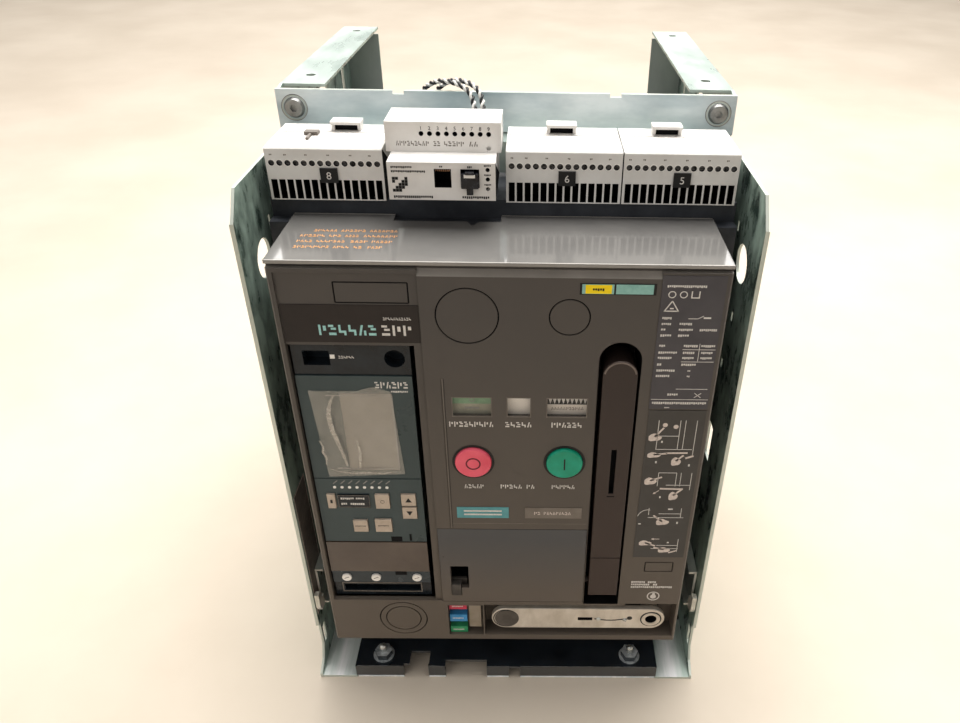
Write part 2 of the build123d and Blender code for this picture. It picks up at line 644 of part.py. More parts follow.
with BuildPart() as close_button:
    push_button(*CLOSE_BUTTON)
    fillet(close_button.faces().sort_by(Axis.Y)[0].edges(), 1.2)
finish(close_button, "close_button")


def latch_lever(x):
    """Cranked lever that a button stem tips backwards about its pivot pin."""
    half = 5.0
    block((x - half, x + half), (STEM_END + 0.9, STEM_END + 3.4), (LEVER_PIVOT_Z - 3, LEVER_PIVOT_Z + 18))
    block((x - half, x + half), (STEM_END + 0.9, LEVER_PIVOT_DEPTH), (LEVER_PIVOT_Z - 3, LEVER_PIVOT_Z + 3))
    rod_x((x - half, x + half), LEVER_PIVOT_DEPTH, LEVER_PIVOT_Z, 5.0)
    pin_bore = LEVER_PIN_RADIUS + RUNNING_CLEARANCE
    rod_x((x - half, x + half), LEVER_PIVOT_DEPTH, LEVER_PIVOT_Z, pin_bore, Mode.SUBTRACT)


with BuildPart() as trip_lever:
    latch_lever(OPEN_BUTTON[0])
finish(trip_lever, "trip_lever")

with BuildPart() as close_lever:
    latch_lever(CLOSE_BUTTON[0])
finish(close_lever, "close_lever")

with BuildPart() as locking_slide:
    block((LATCH_SLOT[0][0] + GAP, LATCH_SLOT[0][1] - GAP), (-0.8, 7.0), (108.0, 120.0))
    block((-44.0, -30.0), (5.0, 7.0), (106.0, 121.5))
finish(locking_slide, "locking_slide")

# ---------------------------------------------------------------- breaker: charging handle
with BuildPart() as charging_handle:
    half = HANDLE_WIDTH / 2
    with BuildSketch(side_plane(HANDLE_CENTRE_X - half)):
        with Locations((HANDLE_PIVOT[0], sum(HANDLE_Z) / 2)):
            Rectangle(20.0, HANDLE_Z[1] - HANDLE_Z[0])
    extrude(amount=HANDLE_WIDTH)
    bottom_edges = charging_handle.edges().filter_by(Axis.X).group_by(Axis.Z)[0]
    fillet(bottom_edges, 2.0)
    # hollow back, round top end, narrow slot in the front, seam above the base
    block((HANDLE_CENTRE_X - half + 3, HANDLE_CENTRE_X + half - 3), (9, 20), (133, 316), Mode.SUBTRACT)
    top_edges = charging_handle.edges().filter_by(Axis.Y).group_by(Axis.Z)[-1]
    fillet(top_edges, half - 0.4)
    block((HANDLE_CENTRE_X - 1.8, HANDLE_CENTRE_X + 1.8), (-2, 5), (217, 257), Mode.SUBTRACT)
    block((60, 92), (-2, 0), (151.0, 151.6), Mode.SUBTRACT)
    # pivot pin
    rod_x((HANDLE_SLOT_X[0] - 2.5, HANDLE_SLOT_X[1] + 2.5), *HANDLE_PIVOT, HANDLE_PIN_RADIUS)
finish(charging_handle, "charging_handle")

# ---------------------------------------------------------------- breaker: stowed crank and racking drive
CRANK_X = (-11.4, 129.2)
CRANK_Z = (65.8, 89.2)
CRANK_FACE = 2.0
SPINDLE_X = 118.0
SPINDLE_Z = 77.5
CROSS_SHAFT = (92.0, 102.6)     # depth, height

with BuildPart() as crank_arm:
    width = CRANK_Z[1] - CRANK_Z[0]
    with BuildSketch(front_plane(CRANK_FACE)):
        with Locations(((CRANK_X[0] + CRANK_X[1]) / 2, sum(CRANK_Z) / 2)):
            SlotOverall(CRANK_X[1] - CRANK_X[0], width)
    extrude(amount=-4.0)
    chamfer(crank_arm.faces().sort_by(Axis.Y)[0].edges(), 0.5)
    rod_y(SPINDLE_X, (CRANK_FACE, 19), SPINDLE_Z, 7.0)
    rod_y(SPINDLE_X, (CRANK_FACE - 1, 12), SPINDLE_Z, 4.6, Mode.SUBTRACT)
    block((58.6, 70.4), (CRANK_FACE - 1, CRANK_FACE + 5), (75.6, 79.2), Mode.SUBTRACT)
    rod_y(1.0, (CRANK_FACE - 1, CRANK_FACE + 2.4), SPINDLE_Z, 9.6 + 0.1, Mode.SUBTRACT)
finish(crank_arm, "crank_arm")

with BuildPart() as crank_knob:
    rod_y(1.0, (CRANK_FACE - 0.4, CRANK_FACE + 2.4), SPINDLE_Z, 9.6)
finish(crank_knob, "crank_knob")

with BuildPart() as racking_spindle:
    rod_y(SPINDLE_X, (20.6, 118), SPINDLE_Z, 6.0)
    rod_y(SPINDLE_X, (80, 104), SPINDLE_Z, 9.0)
    for index in range(5):
        rod_y(SPINDLE_X, (82 + index * 4.4, 84 + index * 4.4), SPINDLE_Z, 10.2)
    block((SPINDLE_X - 2.5, SPINDLE_X + 2.5), (19, 27), (SPINDLE_Z - 0.8, SPINDLE_Z + 0.8), Mode.SUBTRACT)
finish(racking_spindle, "racking_spindle")

with BuildPart() as racking_cross_shaft:
    rod_x((-146, 146), *CROSS_SHAFT, 6.0)
    rod_x((112, 124), *CROSS_SHAFT, 14.2)
    for side in (-1, 1):
        ends = sorted((side * 144.5, side * 149.8))
        rod_x(ends, *CROSS_SHAFT, 9.0)
finish(racking_cross_shaft, "racking_cross_shaft")

# ---------------------------------------------------------------- breaker: trip unit
UNIT_X = (TRIP_OPENING_X[0] + 1.3, TRIP_OPENING_X[1] - 3.4)
UNIT_FACE = 3.0
KEYS = {
    "key_menu": ((-127.0, -121.4), (198.0, 211.2)),
    "key_back": ((-92.6, -82.6), (198.0, 211.4)),
    "key_up": ((-73.9, -63.6), (201.0, 211.6)),
    "key_down": ((-73.9, -63.6), (188.2, 199.0)),
    "key_store": ((-111.0, -100.6), (174.6, 185.8)),
    "key_test": ((-95.0, -83.0), (174.6, 186.8)),
}

with BuildPart() as trip_unit_housing:
    block(UNIT_X, (UNIT_FACE + 2, 58), (TRIP_OPENING_Z[0] + 1, TRIP_OPENING_Z[1] - 1))
    block(UNIT_X, (UNIT_FACE + 1.0, UNIT_FACE + 2), (314.0, TRIP_OPENING_Z[1] - 1))
    block((-127, -110), (0, 14), (321.0, 332.0), Mode.SUBTRACT)
    rod_y(-68.6, (0, 14), 326.4, 6.6, Mode.SUBTRACT)
    block((-126.4, -67.0), (0, 20), (107.0, 113.6), Mode.SUBTRACT)
    for x, z in KEYS.values():
        block((x[0] - GAP, x[1] + GAP), (0, 10), (z[0] - GAP, z[1] + GAP), Mode.SUBTRACT)
finish(trip_unit_housing, "trip_unit_housing")

with BuildPart() as trip_unit_face:
    block(UNIT_X, (UNIT_FACE, UNIT_FACE + 2), (163.2, 313.4))
    block(UNIT_X, (UNIT_FACE - 1, UNIT_FACE + 0.6), (225.2, 226.0), Mode.SUBTRACT)
    block((-107.4, -72.6), (UNIT_FACE - 1, UNIT_FACE + 1.2), (233.2, 299.4), Mode.SUBTRACT)
    for x, z in KEYS.values():
        block((x[0] - GAP, x[1] + GAP), (0, 10), (z[0] - GAP, z[1] + GAP), Mode.SUBTRACT)
    for index in range(8):
        rod_y(-120.6 + index * 5.32, (0, UNIT_FACE + 0.8), 217.3, 1.1, Mode.SUBTRACT)
    block((-84.8, -76.6), (0, UNIT_FACE + 1.5), (163.5, 168.4), Mode.SUBTRACT)
    block((-71.0, -69.4), (0, UNIT_FACE + 1.5), (164.1, 171.1), Mode.SUBTRACT)
finish(trip_unit_face, "trip_unit_face")

with BuildPart() as display:
    block((-107.2, -72.8), (UNIT_FACE + 0.3, UNIT_FACE + 1.2), (233.4, 299.2))
finish(display, "display")

with BuildPart() as rating_plug:
    block((-119.4, -96.8), (UNIT_FACE - 1.0, UNIT_FACE), (198.4, 210.8))
finish(rating_plug, "rating_plug")

with BuildPart() as trip_unit_cover:
    block(UNIT_X, (UNIT_FACE - 0.6, UNIT_FACE + 2), (117.6, 162.6))
    block(UNIT_X, (UNIT_FACE - 1, UNIT_FACE + 0.6), (117, 131.2), Mode.SUBTRACT)
    block((-85, -76.4), (UNIT_FACE - 1, UNIT_FACE + 3), (126.4, 130.8), Mode.SUBTRACT)
finish(trip_unit_cover, "trip_unit_cover")


def key(name):
    """One trip-unit key cap."""
    x, z = KEYS[name]
    block(x, (UNIT_FACE - 1.4, UNIT_FACE + 5), z)


with BuildPart() as key_menu:
    key("key_menu")
finish(key_menu, "key_menu")

with BuildPart() as key_back:
    key("key_back")
finish(key_back, "key_back")

with BuildPart() as key_up:
    key("key_up")
finish(key_up, "key_up")

with BuildPart() as key_down:
    key("key_down")
finish(key_down, "key_down")

with BuildPart() as key_store:
    key("key_store")
finish(key_store, "key_store")

with BuildPart() as key_test:
    key("key_test")
finish(key_test, "key_test")

# ---------------------------------------------------------------- breaker: pole housing
FRONT_HOUSING = (62.5, 128.0)
REAR_CASE = (128.2, HOUSING_BACK)
NARROW_HALF_WIDTH = 147.0       # below the shoulder, between the rails
SHOULDER = 140.0
CHAMBER_HALF_WIDTH = 41.0
ARC_CHUTE_Z = (300.0, 402.6)

with BuildPart() as pole_housing_front:
    block((-HOUSING_HALF_WIDTH, HOUSING_HALF_WIDTH), FRONT_HOUSING, (SHOULDER, HOUSING_TOP_Z))
    block((-NARROW_HALF_WIDTH, NARROW_HALF_WIDTH), FRONT_HOUSING, (56, SHOULDER))
    block((-137, 137), (62, 125), (64, 388), Mode.SUBTRACT)
    for x in POLES:
        block((x - 30, x + 30), (124, 129), (135, 215), Mode.SUBTRACT)
    rod_x((-160, 160), *CROSS_SHAFT, 6.0 + RUNNING_CLEARANCE, Mode.SUBTRACT)
    # step that the top cover reaches over
    block((-160, 160), (62, COVER_BACK + 0.5), (PANEL_Z[1], 408), Mode.SUBTRACT)
    # seats for the shaft ends' discs
    for side in (-1, 1):
        ends = sorted((side * 144.0, side * 148.0))
        rod_x(ends, *CROSS_SHAFT, 9.5, Mode.SUBTRACT)
finish(pole_housing_front, "pole_housing_front")

with BuildPart() as pole_housing_rear:
    block((-HOUSING_HALF_WIDTH, HOUSING_HALF_WIDTH), REAR_CASE, (SHOULDER, HOUSING_TOP_Z))
    block((-NARROW_HALF_WIDTH, NARROW_HALF_WIDTH), REAR_CASE, (56, SHOULDER))
    for x in POLES:
        chamber = (x - CHAMBER_HALF_WIDTH, x + CHAMBER_HALF_WIDTH)
        block(chamber, (127, 286), (66, 403), Mode.SUBTRACT)
        # passages of the two bus stubs
        for z in (LOWER_BUS_Z, UPPER_BUS_Z):
            block(
                (x - BUS_WIDTH / 2, x + BUS_WIDTH / 2),
                (280, HOUSING_BACK + 1),
                (z - BUS_THICKNESS / 2, z + BUS_THICKNESS / 2),
                Mode.SUBTRACT,
            )
        # vents above the arc chute
        blocks((64, 6, 7), [(x, 163 + index * 15, 405.5) for index in range(8)], Mode.SUBTRACT)
    rod_x((-138.2, 138.2), *SHAFT_CENTRE, SHAFT_RADIUS + RUNNING_CLEARANCE, Mode.SUBTRACT)
    # side lugs that rest in the draw-out rails
    for side in (-1, 1):
        for depth in (150, 262):
            lug = sorted((side * 146, side * 154.4))
            rod_x(lug, depth, 74.4, 8.0)
finish(pole_housing_rear, "pole_housing_rear")

with BuildPart() as arc_chutes:
    for x in POLES:
        block((x - 40, x + 40), (150, 284), ARC_CHUTE_Z)
        # gaps between the splitter plates
        gaps = [(x, 159.1 + index * 10.5, 348.5) for index in range(12)]
        blocks((72, 8.2, 99), gaps, Mode.SUBTRACT)
finish(arc_chutes, "arc_chutes")

# ---------------------------------------------------------------- breaker: current path
CONTACT_FACE = ARM_PIVOT[0] + 7.4

with BuildPart() as bus_stubs:
    # upper bars carry the fixed contacts, lower bars the pivots of the moving arms
    for x in POLES:
        block((x - BUS_WIDTH / 2, x + BUS_WIDTH / 2), (222, 318), (UPPER_BUS_Z - 5, UPPER_BUS_Z + 5))
        block((x - 26, x + 26), (CONTACT_FACE + 5, 230), (264, UPPER_BUS_Z + 5))
        block((x - 20, x + 20), (CONTACT_FACE, CONTACT_FACE + 6), (268, 292))
        block((x - BUS_WIDTH / 2, x + BUS_WIDTH / 2), (190, 318), (LOWER_BUS_Z - 5, LOWER_BUS_Z + 5))
        for side in (-1, 1):
            lug = sorted((x + side * 24, x + side * 29))
            block(lug, (196, 214), (LOWER_BUS_Z + 4, ARM_PIVOT[1] + 8))
        rod_x((x - 29, x + 29), *ARM_PIVOT, 4.0)
finish(bus_stubs, "bus_stubs")

with BuildPart() as finger_clusters:
    for x in POLES:
        for z in (LOWER_BUS_Z, UPPER_BUS_Z):
            # cage around two rows of contact fingers
            block((x - 35, x + 35), (308, 338), (z - 16, z + 16))
            block((x - 32, x + 32), (307, 339), (z - 13, z + 13), Mode.SUBTRACT)
            fingers = [(x - 25.2 + index * 7.2, 324.5, z + row) for index in range(8) for row in (-9.2, 9.2)]
            blocks((5.6, 41, 7.7), fingers)
finish(finger_clusters, "finger_clusters")

with BuildPart() as current_transformers:
    for x in POLES:
        block((x - 39, x + 39), (242, 274), (LOWER_BUS_Z - 26, LOWER_BUS_Z + 26))
        block((x - 30.3, x + 30.3), (241, 275), (LOWER_BUS_Z - 5.3, LOWER_BUS_Z + 5.3), Mode.SUBTRACT)
finish(current_transformers, "current_transformers")


# ---------------------------------------------------------------- breaker: moving contacts
def reach(centre, angle, distance, offset=0.0):
    """Point at a distance along a direction in the depth-height plane, and an offset to its left."""
    along = (cos(radians(angle)), sin(radians(angle)))
    return (
        centre[0] + distance * along[0] - offset * along[1],
        centre[1] + distance * along[1] + offset * along[0],
    )


ARM_ANGLE = 90.0 + ARM_OPEN_ANGLE
ARM_HALF_THICKNESS = 7.0
ARM_LINK_PIN = reach(ARM_PIVOT, ARM_ANGLE, LINK_PIN_REACH)
LEVER_PIN = reach(SHAFT_CENTRE, LEVER_OPEN_ANGLE, LEVER_REACH)
LINK_X = (21.5, 25.5)


with BuildPart() as contact_arms:
    for x in POLES:
        with BuildSketch(side_plane(x - 20)):
            with BuildLine():
                Polyline(
                    reach(ARM_PIVOT, ARM_ANGLE, 0, ARM_HALF_THICKNESS),
                    reach(ARM_PIVOT, ARM_ANGLE, ARM_LENGTH + 10, ARM_HALF_THICKNESS),
                    reach(ARM_PIVOT, ARM_ANGLE, ARM_LENGTH + 10, -ARM_HALF_THICKNESS),
                    reach(ARM_PIVOT, ARM_ANGLE, 0, -ARM_HALF_THICKNESS),
                    close=True,
                )
            make_face()
            with Locations(ARM_PIVOT):
                Circle(8.6)
            with Locations(ARM_LINK_PIN):
                Circle(13.0)
                Circle(8.5, mode=Mode.SUBTRACT)
            with Locations(ARM_PIVOT):
                Circle(4.0 + RUNNING_CLEARANCE, mode=Mode.SUBTRACT)
        extrude(amount=40)
finish(contact_arms, "contact_arms")

with BuildPart() as main_shaft:
    rod_x((-138, 138), *SHAFT_CENTRE, SHAFT_RADIUS)
    for x in POLES:
        with BuildSketch(side_plane(x - 8)):
            with Locations(SHAFT_CENTRE):
                Circle(14.0)
            with Locations(LEVER_PIN):
                Circle(7.0)
            with BuildLine():
                Polyline(
                    reach(SHAFT_CENTRE, LEVER_OPEN_ANGLE, 0, 10),
                    reach(SHAFT_CENTRE, LEVER_OPEN_ANGLE, LEVER_REACH, 6.5),
                    reach(SHAFT_CENTRE, LEVER_OPEN_ANGLE, LEVER_REACH, -6.5),
                    reach(SHAFT_CENTRE, LEVER_OPEN_ANGLE, 0, -10),
                    close=True,
                )
            make_face()
        extrude(amount=16)
        rod_x((x - LINK_X[1], x + LINK_X[1]), *LEVER_PIN, LINK_PIN_RADIUS)
finish(main_shaft, "main_shaft")

with BuildPart() as coupling_links:
    for x in POLES:
        for side in (-1, 1):
            with BuildSketch(side_plane(x + min(side * LINK_X[0], side * LINK_X[1]))):
                for pin in (LEVER_PIN, ARM_LINK_PIN):
                    with Locations(pin):
                        Circle(6.5)
                with BuildLine():
                    Polyline(
                        reach(LEVER_PIN, LINK_OPEN_ANGLE, 0, 5),
                        reach(LEVER_PIN, LINK_OPEN_ANGLE, LINK_LENGTH, 5),
                        reach(LEVER_PIN, LINK_OPEN_ANGLE, LINK_LENGTH, -5),
                        reach(LEVER_PIN, LINK_OPEN_ANGLE, 0, -5),
                        close=True,
                    )
                make_face()
                with Locations(LEVER_PIN):
                    Circle(LINK_PIN_RADIUS + RUNNING_CLEARANCE, mode=Mode.SUBTRACT)
            extrude(amount=LINK_X[1] - LINK_X[0])
        rod_x((x - LINK_X[1], x + LINK_X[1]), *ARM_LINK_PIN, LINK_PIN_RADIUS)
finish(coupling_links, "coupling_links")

# ---------------------------------------------------------------- breaker: operating mechanism
MECHANISM_X = ((-51.5, -48.5), (53.5, 56.5))
MECHANISM_DEPTH = (40.0, 122.0)
CAM_SHAFT = (84.0, 292.0)
CAM_SHAFT_RADIUS = 8.0

with BuildPart() as mechanism_frame:
    for wall in MECHANISM_X:
        block(wall, MECHANISM_DEPTH, (125, 380))
        block(wall, (96, 123), (119, 160), Mode.SUBTRACT)
    for depth, z in ((48, 140), (48, 370), (114, 370), (114, 180)):
        rod_x((MECHANISM_X[0][0], MECHANISM_X[1][1]), depth, z, 5.0)
    rod_x((-60, 60), *CAM_SHAFT, CAM_SHAFT_RADIUS + RUNNING_CLEARANCE, Mode.SUBTRACT)
    # pin of the two latch levers
    rod_x((MECHANISM_X[0][0], MECHANISM_X[1][1]), LEVER_PIVOT_DEPTH, LEVER_PIVOT_Z, LEVER_PIN_RADIUS)
    # seats and guide rod of the closing spring
    for z in ((154, 160), (258, 262)):
        block((MECHANISM_X[0][0] + 1, 26), (68, 106), z)
    rod_z(6.0, 86.0, (159, 230), 8.0)
finish(mechanism_frame, "mechanism_frame")

with BuildPart() as cam_shaft:
    rod_x((-56, 78), *CAM_SHAFT, CAM_SHAFT_RADIUS)
    # eccentric charging cam
    rod_x((0, 12), CAM_SHAFT[0] + 5, CAM_SHAFT[1], 20.0)
    # ratchet wheel
    with BuildSketch(side_plane(62)):
        with Locations(CAM_SHAFT):
            Circle(24.0)
            with PolarLocations(24.0, 18):
                RegularPolygon(4.0, 3)
    extrude(amount=8)
finish(cam_shaft, "cam_shaft")

with BuildPart() as closing_spring:
    rod_z(6.0, 86.0, (160, 258), 16.0)
    rod_z(6.0, 86.0, (159, 259), 11.5, Mode.SUBTRACT)
finish(closing_spring, "closing_spring")
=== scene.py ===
"""Looks of the withdrawable air circuit breaker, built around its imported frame.

Places are given as x, depth behind the panel's front and height, in millimetres; at() turns them
into metres in the frame's own axes. Printed plates carry generic marks instead of words.
"""

import random
from math import cos, pi, radians, sin, tau

import bpy
from mathutils import Matrix, Vector, noise


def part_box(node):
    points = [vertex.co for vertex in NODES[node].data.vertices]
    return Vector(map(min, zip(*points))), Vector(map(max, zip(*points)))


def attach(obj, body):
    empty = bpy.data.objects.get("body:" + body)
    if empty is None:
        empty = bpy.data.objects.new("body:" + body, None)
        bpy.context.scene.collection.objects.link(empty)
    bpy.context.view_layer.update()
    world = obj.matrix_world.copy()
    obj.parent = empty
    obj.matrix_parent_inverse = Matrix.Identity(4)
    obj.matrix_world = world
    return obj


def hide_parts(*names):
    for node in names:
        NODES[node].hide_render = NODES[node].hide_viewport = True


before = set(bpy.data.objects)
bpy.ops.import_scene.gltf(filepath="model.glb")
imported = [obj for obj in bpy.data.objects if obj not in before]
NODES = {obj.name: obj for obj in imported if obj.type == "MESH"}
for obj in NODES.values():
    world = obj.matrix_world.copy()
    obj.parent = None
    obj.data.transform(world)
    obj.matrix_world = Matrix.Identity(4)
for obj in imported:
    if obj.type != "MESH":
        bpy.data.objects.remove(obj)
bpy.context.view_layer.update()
PANEL_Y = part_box("front_panel")[0].y
MM = 0.001
SEED = 11
SUNK_STEP = 1.5  # the left column lies this much behind the panel's front
PRINT = 0.12  # thickness of printed marks
LABEL = 0.4  # thickness of the printed plates
PLATE_FRONT = -LABEL
UNIT_FACE = 3  # depth of the trip unit's face
FLAG_FRONT = 4.4  # depth of the indicator flags' fronts
CRANK_FACE = 2
CRANK_HEIGHT = 77.5
CRANK_HUB_X = 118
HANDLE_X = 76.3
HANDLE_ARC_Z = 318.2  # centre of the handle's round end
TERMINAL_FACE = 66
TERMINAL_PITCH = 5.13
TERMINAL_HALF = 35.8  # half the width of a terminal block
MODULE_UPPER_FACE = 67
MODULE_LOWER_FACE = 47
FRAME = "guide_frame"


def at(x, depth, z):
    """Point in metres from x, depth behind the panel's front and height in millimetres."""
    return Vector((x * MM, PANEL_Y + depth * MM, z * MM))


# ---- materials
def tone(code):
    """Linear colour of a display colour written as six hexadecimal digits."""
    channels = [int(code[index:index + 2], 16) / 255 for index in (0, 2, 4)]
    return tuple(c / 12.92 if c <= 0.04045 else ((c + 0.055) / 1.055) ** 2.4 for c in channels)


SATIN = (0.3, 0.4)  # limits of the roughness
MATT = (0.4, 0.5)


def surface(name, dark, light, rough=MATT, mottle=150, grain=2500, bump=0.1, stretch=(1, 1, 1),
            metallic=0, coat=0, specular=0.3, edge=0, alpha=1, contrast=(0.35, 0.65), rise=None,
            waves=0):
    """Procedural surface: mottled colour, uneven gloss, fine grain, and rounded edges where wanted.

    With rise, two heights in metres, the colour goes from dark at the lower one to light at the upper one,
    as painted light that changes with height.
    With waves, the surface is slightly uneven, as on rolled sheet.
    """
    material = bpy.data.materials.new(name)
    material.use_nodes = True
    tree = material.node_tree

    def feed(node, **values):
        """Give inputs of a node their values, or link them to outputs of other nodes."""
        for socket_name, value in values.items():
            socket = node.inputs[socket_name.replace("_", " ")]
            if isinstance(value, bpy.types.NodeSocket):
                tree.links.new(value, socket)
            else:
                socket.default_value = value
        return node

    def add(kind, output, **values):
        return feed(tree.nodes.new("ShaderNode" + kind), **values).outputs[output]

    place = add("TexCoord", "Object")
    stretched = add("Mapping", "Vector", Vector=place, Scale=stretch)
    patches = add("TexNoise", "Fac", Vector=stretched, Scale=mottle, Detail=5, Roughness=0.6)
    share = patches
    if rise:
        height = add("SeparateXYZ", "Z", Vector=place)
        climb = add("MapRange", "Result", Value=height, From_Min=rise[0], From_Max=rise[1])
        share = add("Mix", "Result", Factor=0.75, A=patches, B=climb)
    colour = add("ValToRGB", "Color", Fac=share)
    stops = zip(colour.node.color_ramp.elements, (0.1, 0.9) if rise else contrast, (dark, light))
    for stop, position, code in stops:
        stop.position = position
        stop.color = (*tone(code), 1)
    gloss = add("MapRange", "Result", Value=patches, From_Min=0.3, From_Max=0.7, To_Min=rough[0],
        To_Max=rough[1])
    base = {}
    if edge:
        base["Normal"] = add("Bevel", "Normal", Radius=edge * MM)
        base["Normal"].node.samples = 4
    if waves:
        swell = add("TexNoise", "Fac", Vector=place, Scale=18, Detail=2)
        base["Normal"] = add("Bump", "Normal", Height=swell, Strength=waves, Distance=0.004, **base)
    fine = add("TexNoise", "Fac", Vector=stretched, Scale=grain)
    relief = add("Bump", "Normal", Height=fine, Strength=bump, Distance=0.0002, **base)
    feed(tree.nodes["Principled BSDF"], Base_Color=colour, Metallic=metallic, Roughness=gloss, Alpha=alpha,
        Coat_Weight=coat, Coat_Roughness=0.06, Specular_IOR_Level=specular, Normal=relief)
    return material


def ink(name, dark, light):
    return surface(name, dark, light, (0.5, 0.6), 900, 3000, 0.05)


def glossy(name, dark, light, rough=(0.28, 0.36), edge=0.4):
    return surface(name, dark, light, rough, 60, 2500, 0.06, edge=edge)


# metal
ZINC = surface("zinc_plate", "9fb0a8", "d3dcd6", (0.22, 0.42), 20, 500, 0.05, (1, 0.35, 0.35), metallic=0.5,
    edge=0.35, contrast=(0.28, 0.72), waves=0.1)
# Painted shade and dark reflection for the inward faces of the side plates.
ZINC_INSIDE_SHADE = surface("zinc_inside_shade", "34443d", "a9bfb2", (0.2, 0.42), 55, 500, 0.06, (1, 1, 0.5),
    metallic=0.12, edge=0.35, contrast=(0.34, 0.6), waves=0.6)
# Painted highlight: a lighter zinc for faces that look up or forward.
ZINC_HIGHLIGHT = surface("zinc_highlight", "b4bbb2", "d0d5cb", (0.3, 0.45), 24, 500, 0.05, (1, 1, 0.4),
    metallic=0.35, edge=0.3, waves=0.1)
# Painted highlight: the feet's upward faces are lightened, with streaks, against the panel's shadow.
ZINC_FOOT_HIGHLIGHT = surface("zinc_foot_highlight", "b9c9c0", "ffffff", (0.25, 0.42), 60, 500, 0.05, (1, 0.08, 1),
    metallic=0.05, edge=0.3, waves=0.1)
ZINC_BAR = surface("zinc_bar", "9db1b9", "e2eaec", (0.26, 0.42), 22, 500, 0.05, (0.4, 1, 1), metallic=0.25,
    edge=0.5, waves=0.15)
# Light colour of the rails' front parts, also put on the rails' forward faces as painted highlight.
RAIL_FRONT = surface("rail_front", "c9c6b8", "fffaf0", (0.22, 0.42), 70, 500, 0.05, (1, 1, 0.3),
    metallic=0.1, edge=0.4)
BLACK_STEEL = surface("black_steel", "11171c", "232b33", (0.14, 0.24), 30, 900, 0.05, specular=0.8,
    coat=0.8, edge=0.5)
SCREW_STEEL = surface("screw_steel", "a8aaa6", "d8dad6", (0.18, 0.35), 120, metallic=0.9, edge=0.25)
# Base bolts: light tops as painted highlight, dark sides as painted shade.
BOLT_TOP_HIGHLIGHT = surface("bolt_top_highlight", "8b9296", "e6ebed", (0.12, 0.22), 160, 900, 0.03, metallic=0.35, edge=0.6)
BOLT_SIDE_SHADE = surface("bolt_side_shade", "1d2328", "5a6268", (0.12, 0.22), 160, 900, 0.03, metallic=0.5, edge=0.6)
# Painted highlight for the lower edges of the front cross member's lips.
LIP_EDGE_HIGHLIGHT = surface("lip_edge_highlight", "dde6e8", "ffffff", (0.2, 0.3), 200, 900, 0.03)
DULL_STEEL = surface("dull_steel", "7d7d7c", "a9a9a6", (0.3, 0.5), 90, 1500, 0.15, metallic=0.95, edge=0.25)
CRANK_STEEL = surface("crank_steel", "c6bcae", "ddd4c8", (0.3, 0.42), 90, 1800, 0.08, (1, 1, 0.5),
    metallic=0.4, edge=0.3)
COPPER = surface("silvered_copper", "c48d6b", "dcae8d", (0.32, 0.42), 40, 900, 0.1, (0.4, 1, 1),
    metallic=0.8, edge=0.4, contrast=(0.15, 0.85))
ARC_STEEL = surface("arc_steel", "5a5a5a", "77777a", (0.4, 0.6), 60, 1500, 0.2, metallic=1)

# mouldings
HOUSING = surface("housing_plastic", "31343a", "404349", (0.42, 0.58), 50, 2200, 0.25, edge=0.5)
# Painted warm reflection: the panel turns lighter and browner towards the bottom.
PANEL = surface("panel_plastic", "5f564d", "4b4744", MATT, 16, 2600, 0.22, edge=0.35, rise=(0.06, 0.36))
# Painted highlight: the panel's top ledge is lighter where it catches the light.
LEDGE_HIGHLIGHT = surface("ledge_highlight", "7a756f", "8a857f", SATIN, 20, 2600, edge=0.3)
# Painted highlight along the top cover's edges.
COVER_EDGE_HIGHLIGHT = surface("cover_edge_highlight", "a8a39d", "bab5af", SATIN, 20, 2600)
# Painted warm reflection: the lower cover turns browner towards the bottom.
FLAP = surface("flap_plastic", "5c534b", "444548", (0.26, 0.34), 14, 2600, coat=0.2, edge=0.35,
    rise=(0.11, 0.17))
COVER = surface("cover_plastic", "6e6c6a", "7d7b78", (0.1, 0.18), 10, 1800, 0.03, coat=0.9, specular=0.8,
    edge=0.6)
TERMINAL = surface("terminal_plastic", "d5d2cd", "e0deda", (0.34, 0.46), 45, 2400, 0.15, edge=0.35)
# Painted shade: the terminal screws are dark so they read as shaded holes.
SCREW_HOLE_SHADE = surface("terminal_screw", "262627", "5a5a5b", (0.2, 0.4), 300, metallic=0.6)
MODULE = surface("module_plastic", "d8d4cf", "e4e1dd", (0.34, 0.46), 35, 2400, 0.12, edge=0.4)
PLUG = surface("plug_plastic", "101115", "23262c", (0.2, 0.3), 200, 2000, edge=0.3)
BLACK = surface("black_plastic", "0b0c0d", "17181a", (0.35, 0.5), 120, 2000, 0.2)
# Painted shade for recesses, slots, bores and holes.
PAINTED_SHADE = surface("painted_shade", "060608", "0d0d10", (0.7, 0.8), 120, 2000, specular=0.15)
UNIT_BLACK = surface("unit_black", "0f1419", "1c2329", (0.18, 0.26), 60, 2000, 0.05, edge=0.3)
UNIT_FACE_PAINT = surface("unit_face", "344143", "3b484a", (0.26, 0.36), 25, 2400, edge=0.25)
UNIT_COVER = surface("unit_cover", "463a33", "52463d", (0.14, 0.22), 20, 2400, 0.03, coat=0.5, edge=0.3)
UNIT_STRIP = surface("unit_strip", "2c3337", "363e43", (0.2, 0.3), 30, 2400, 0.05, edge=0.2)
DISPLAY = surface("display_glass", "8a8379", "9b948a", (0.12, 0.18), 20, 1500, 0.03)
KEY = surface("key_rubber", "b3a393", "c2b3a3", (0.5, 0.6), 200, 3000, 0.2, edge=0.35)
RED = glossy("red_plastic", "e05266", "ec6478")
# Darker copies of the button colours, painted shade on the buttons' edges; the open mark is printed in the
# dark red.
RED_RIM = glossy("red_rim", "4a0f1a", "641824", SATIN, 0.2)
GREEN = glossy("green_plastic", "0f8c6c", "189d80")
GREEN_RIM = glossy("green_rim", "06231f", "0d332d", SATIN, 0.2)
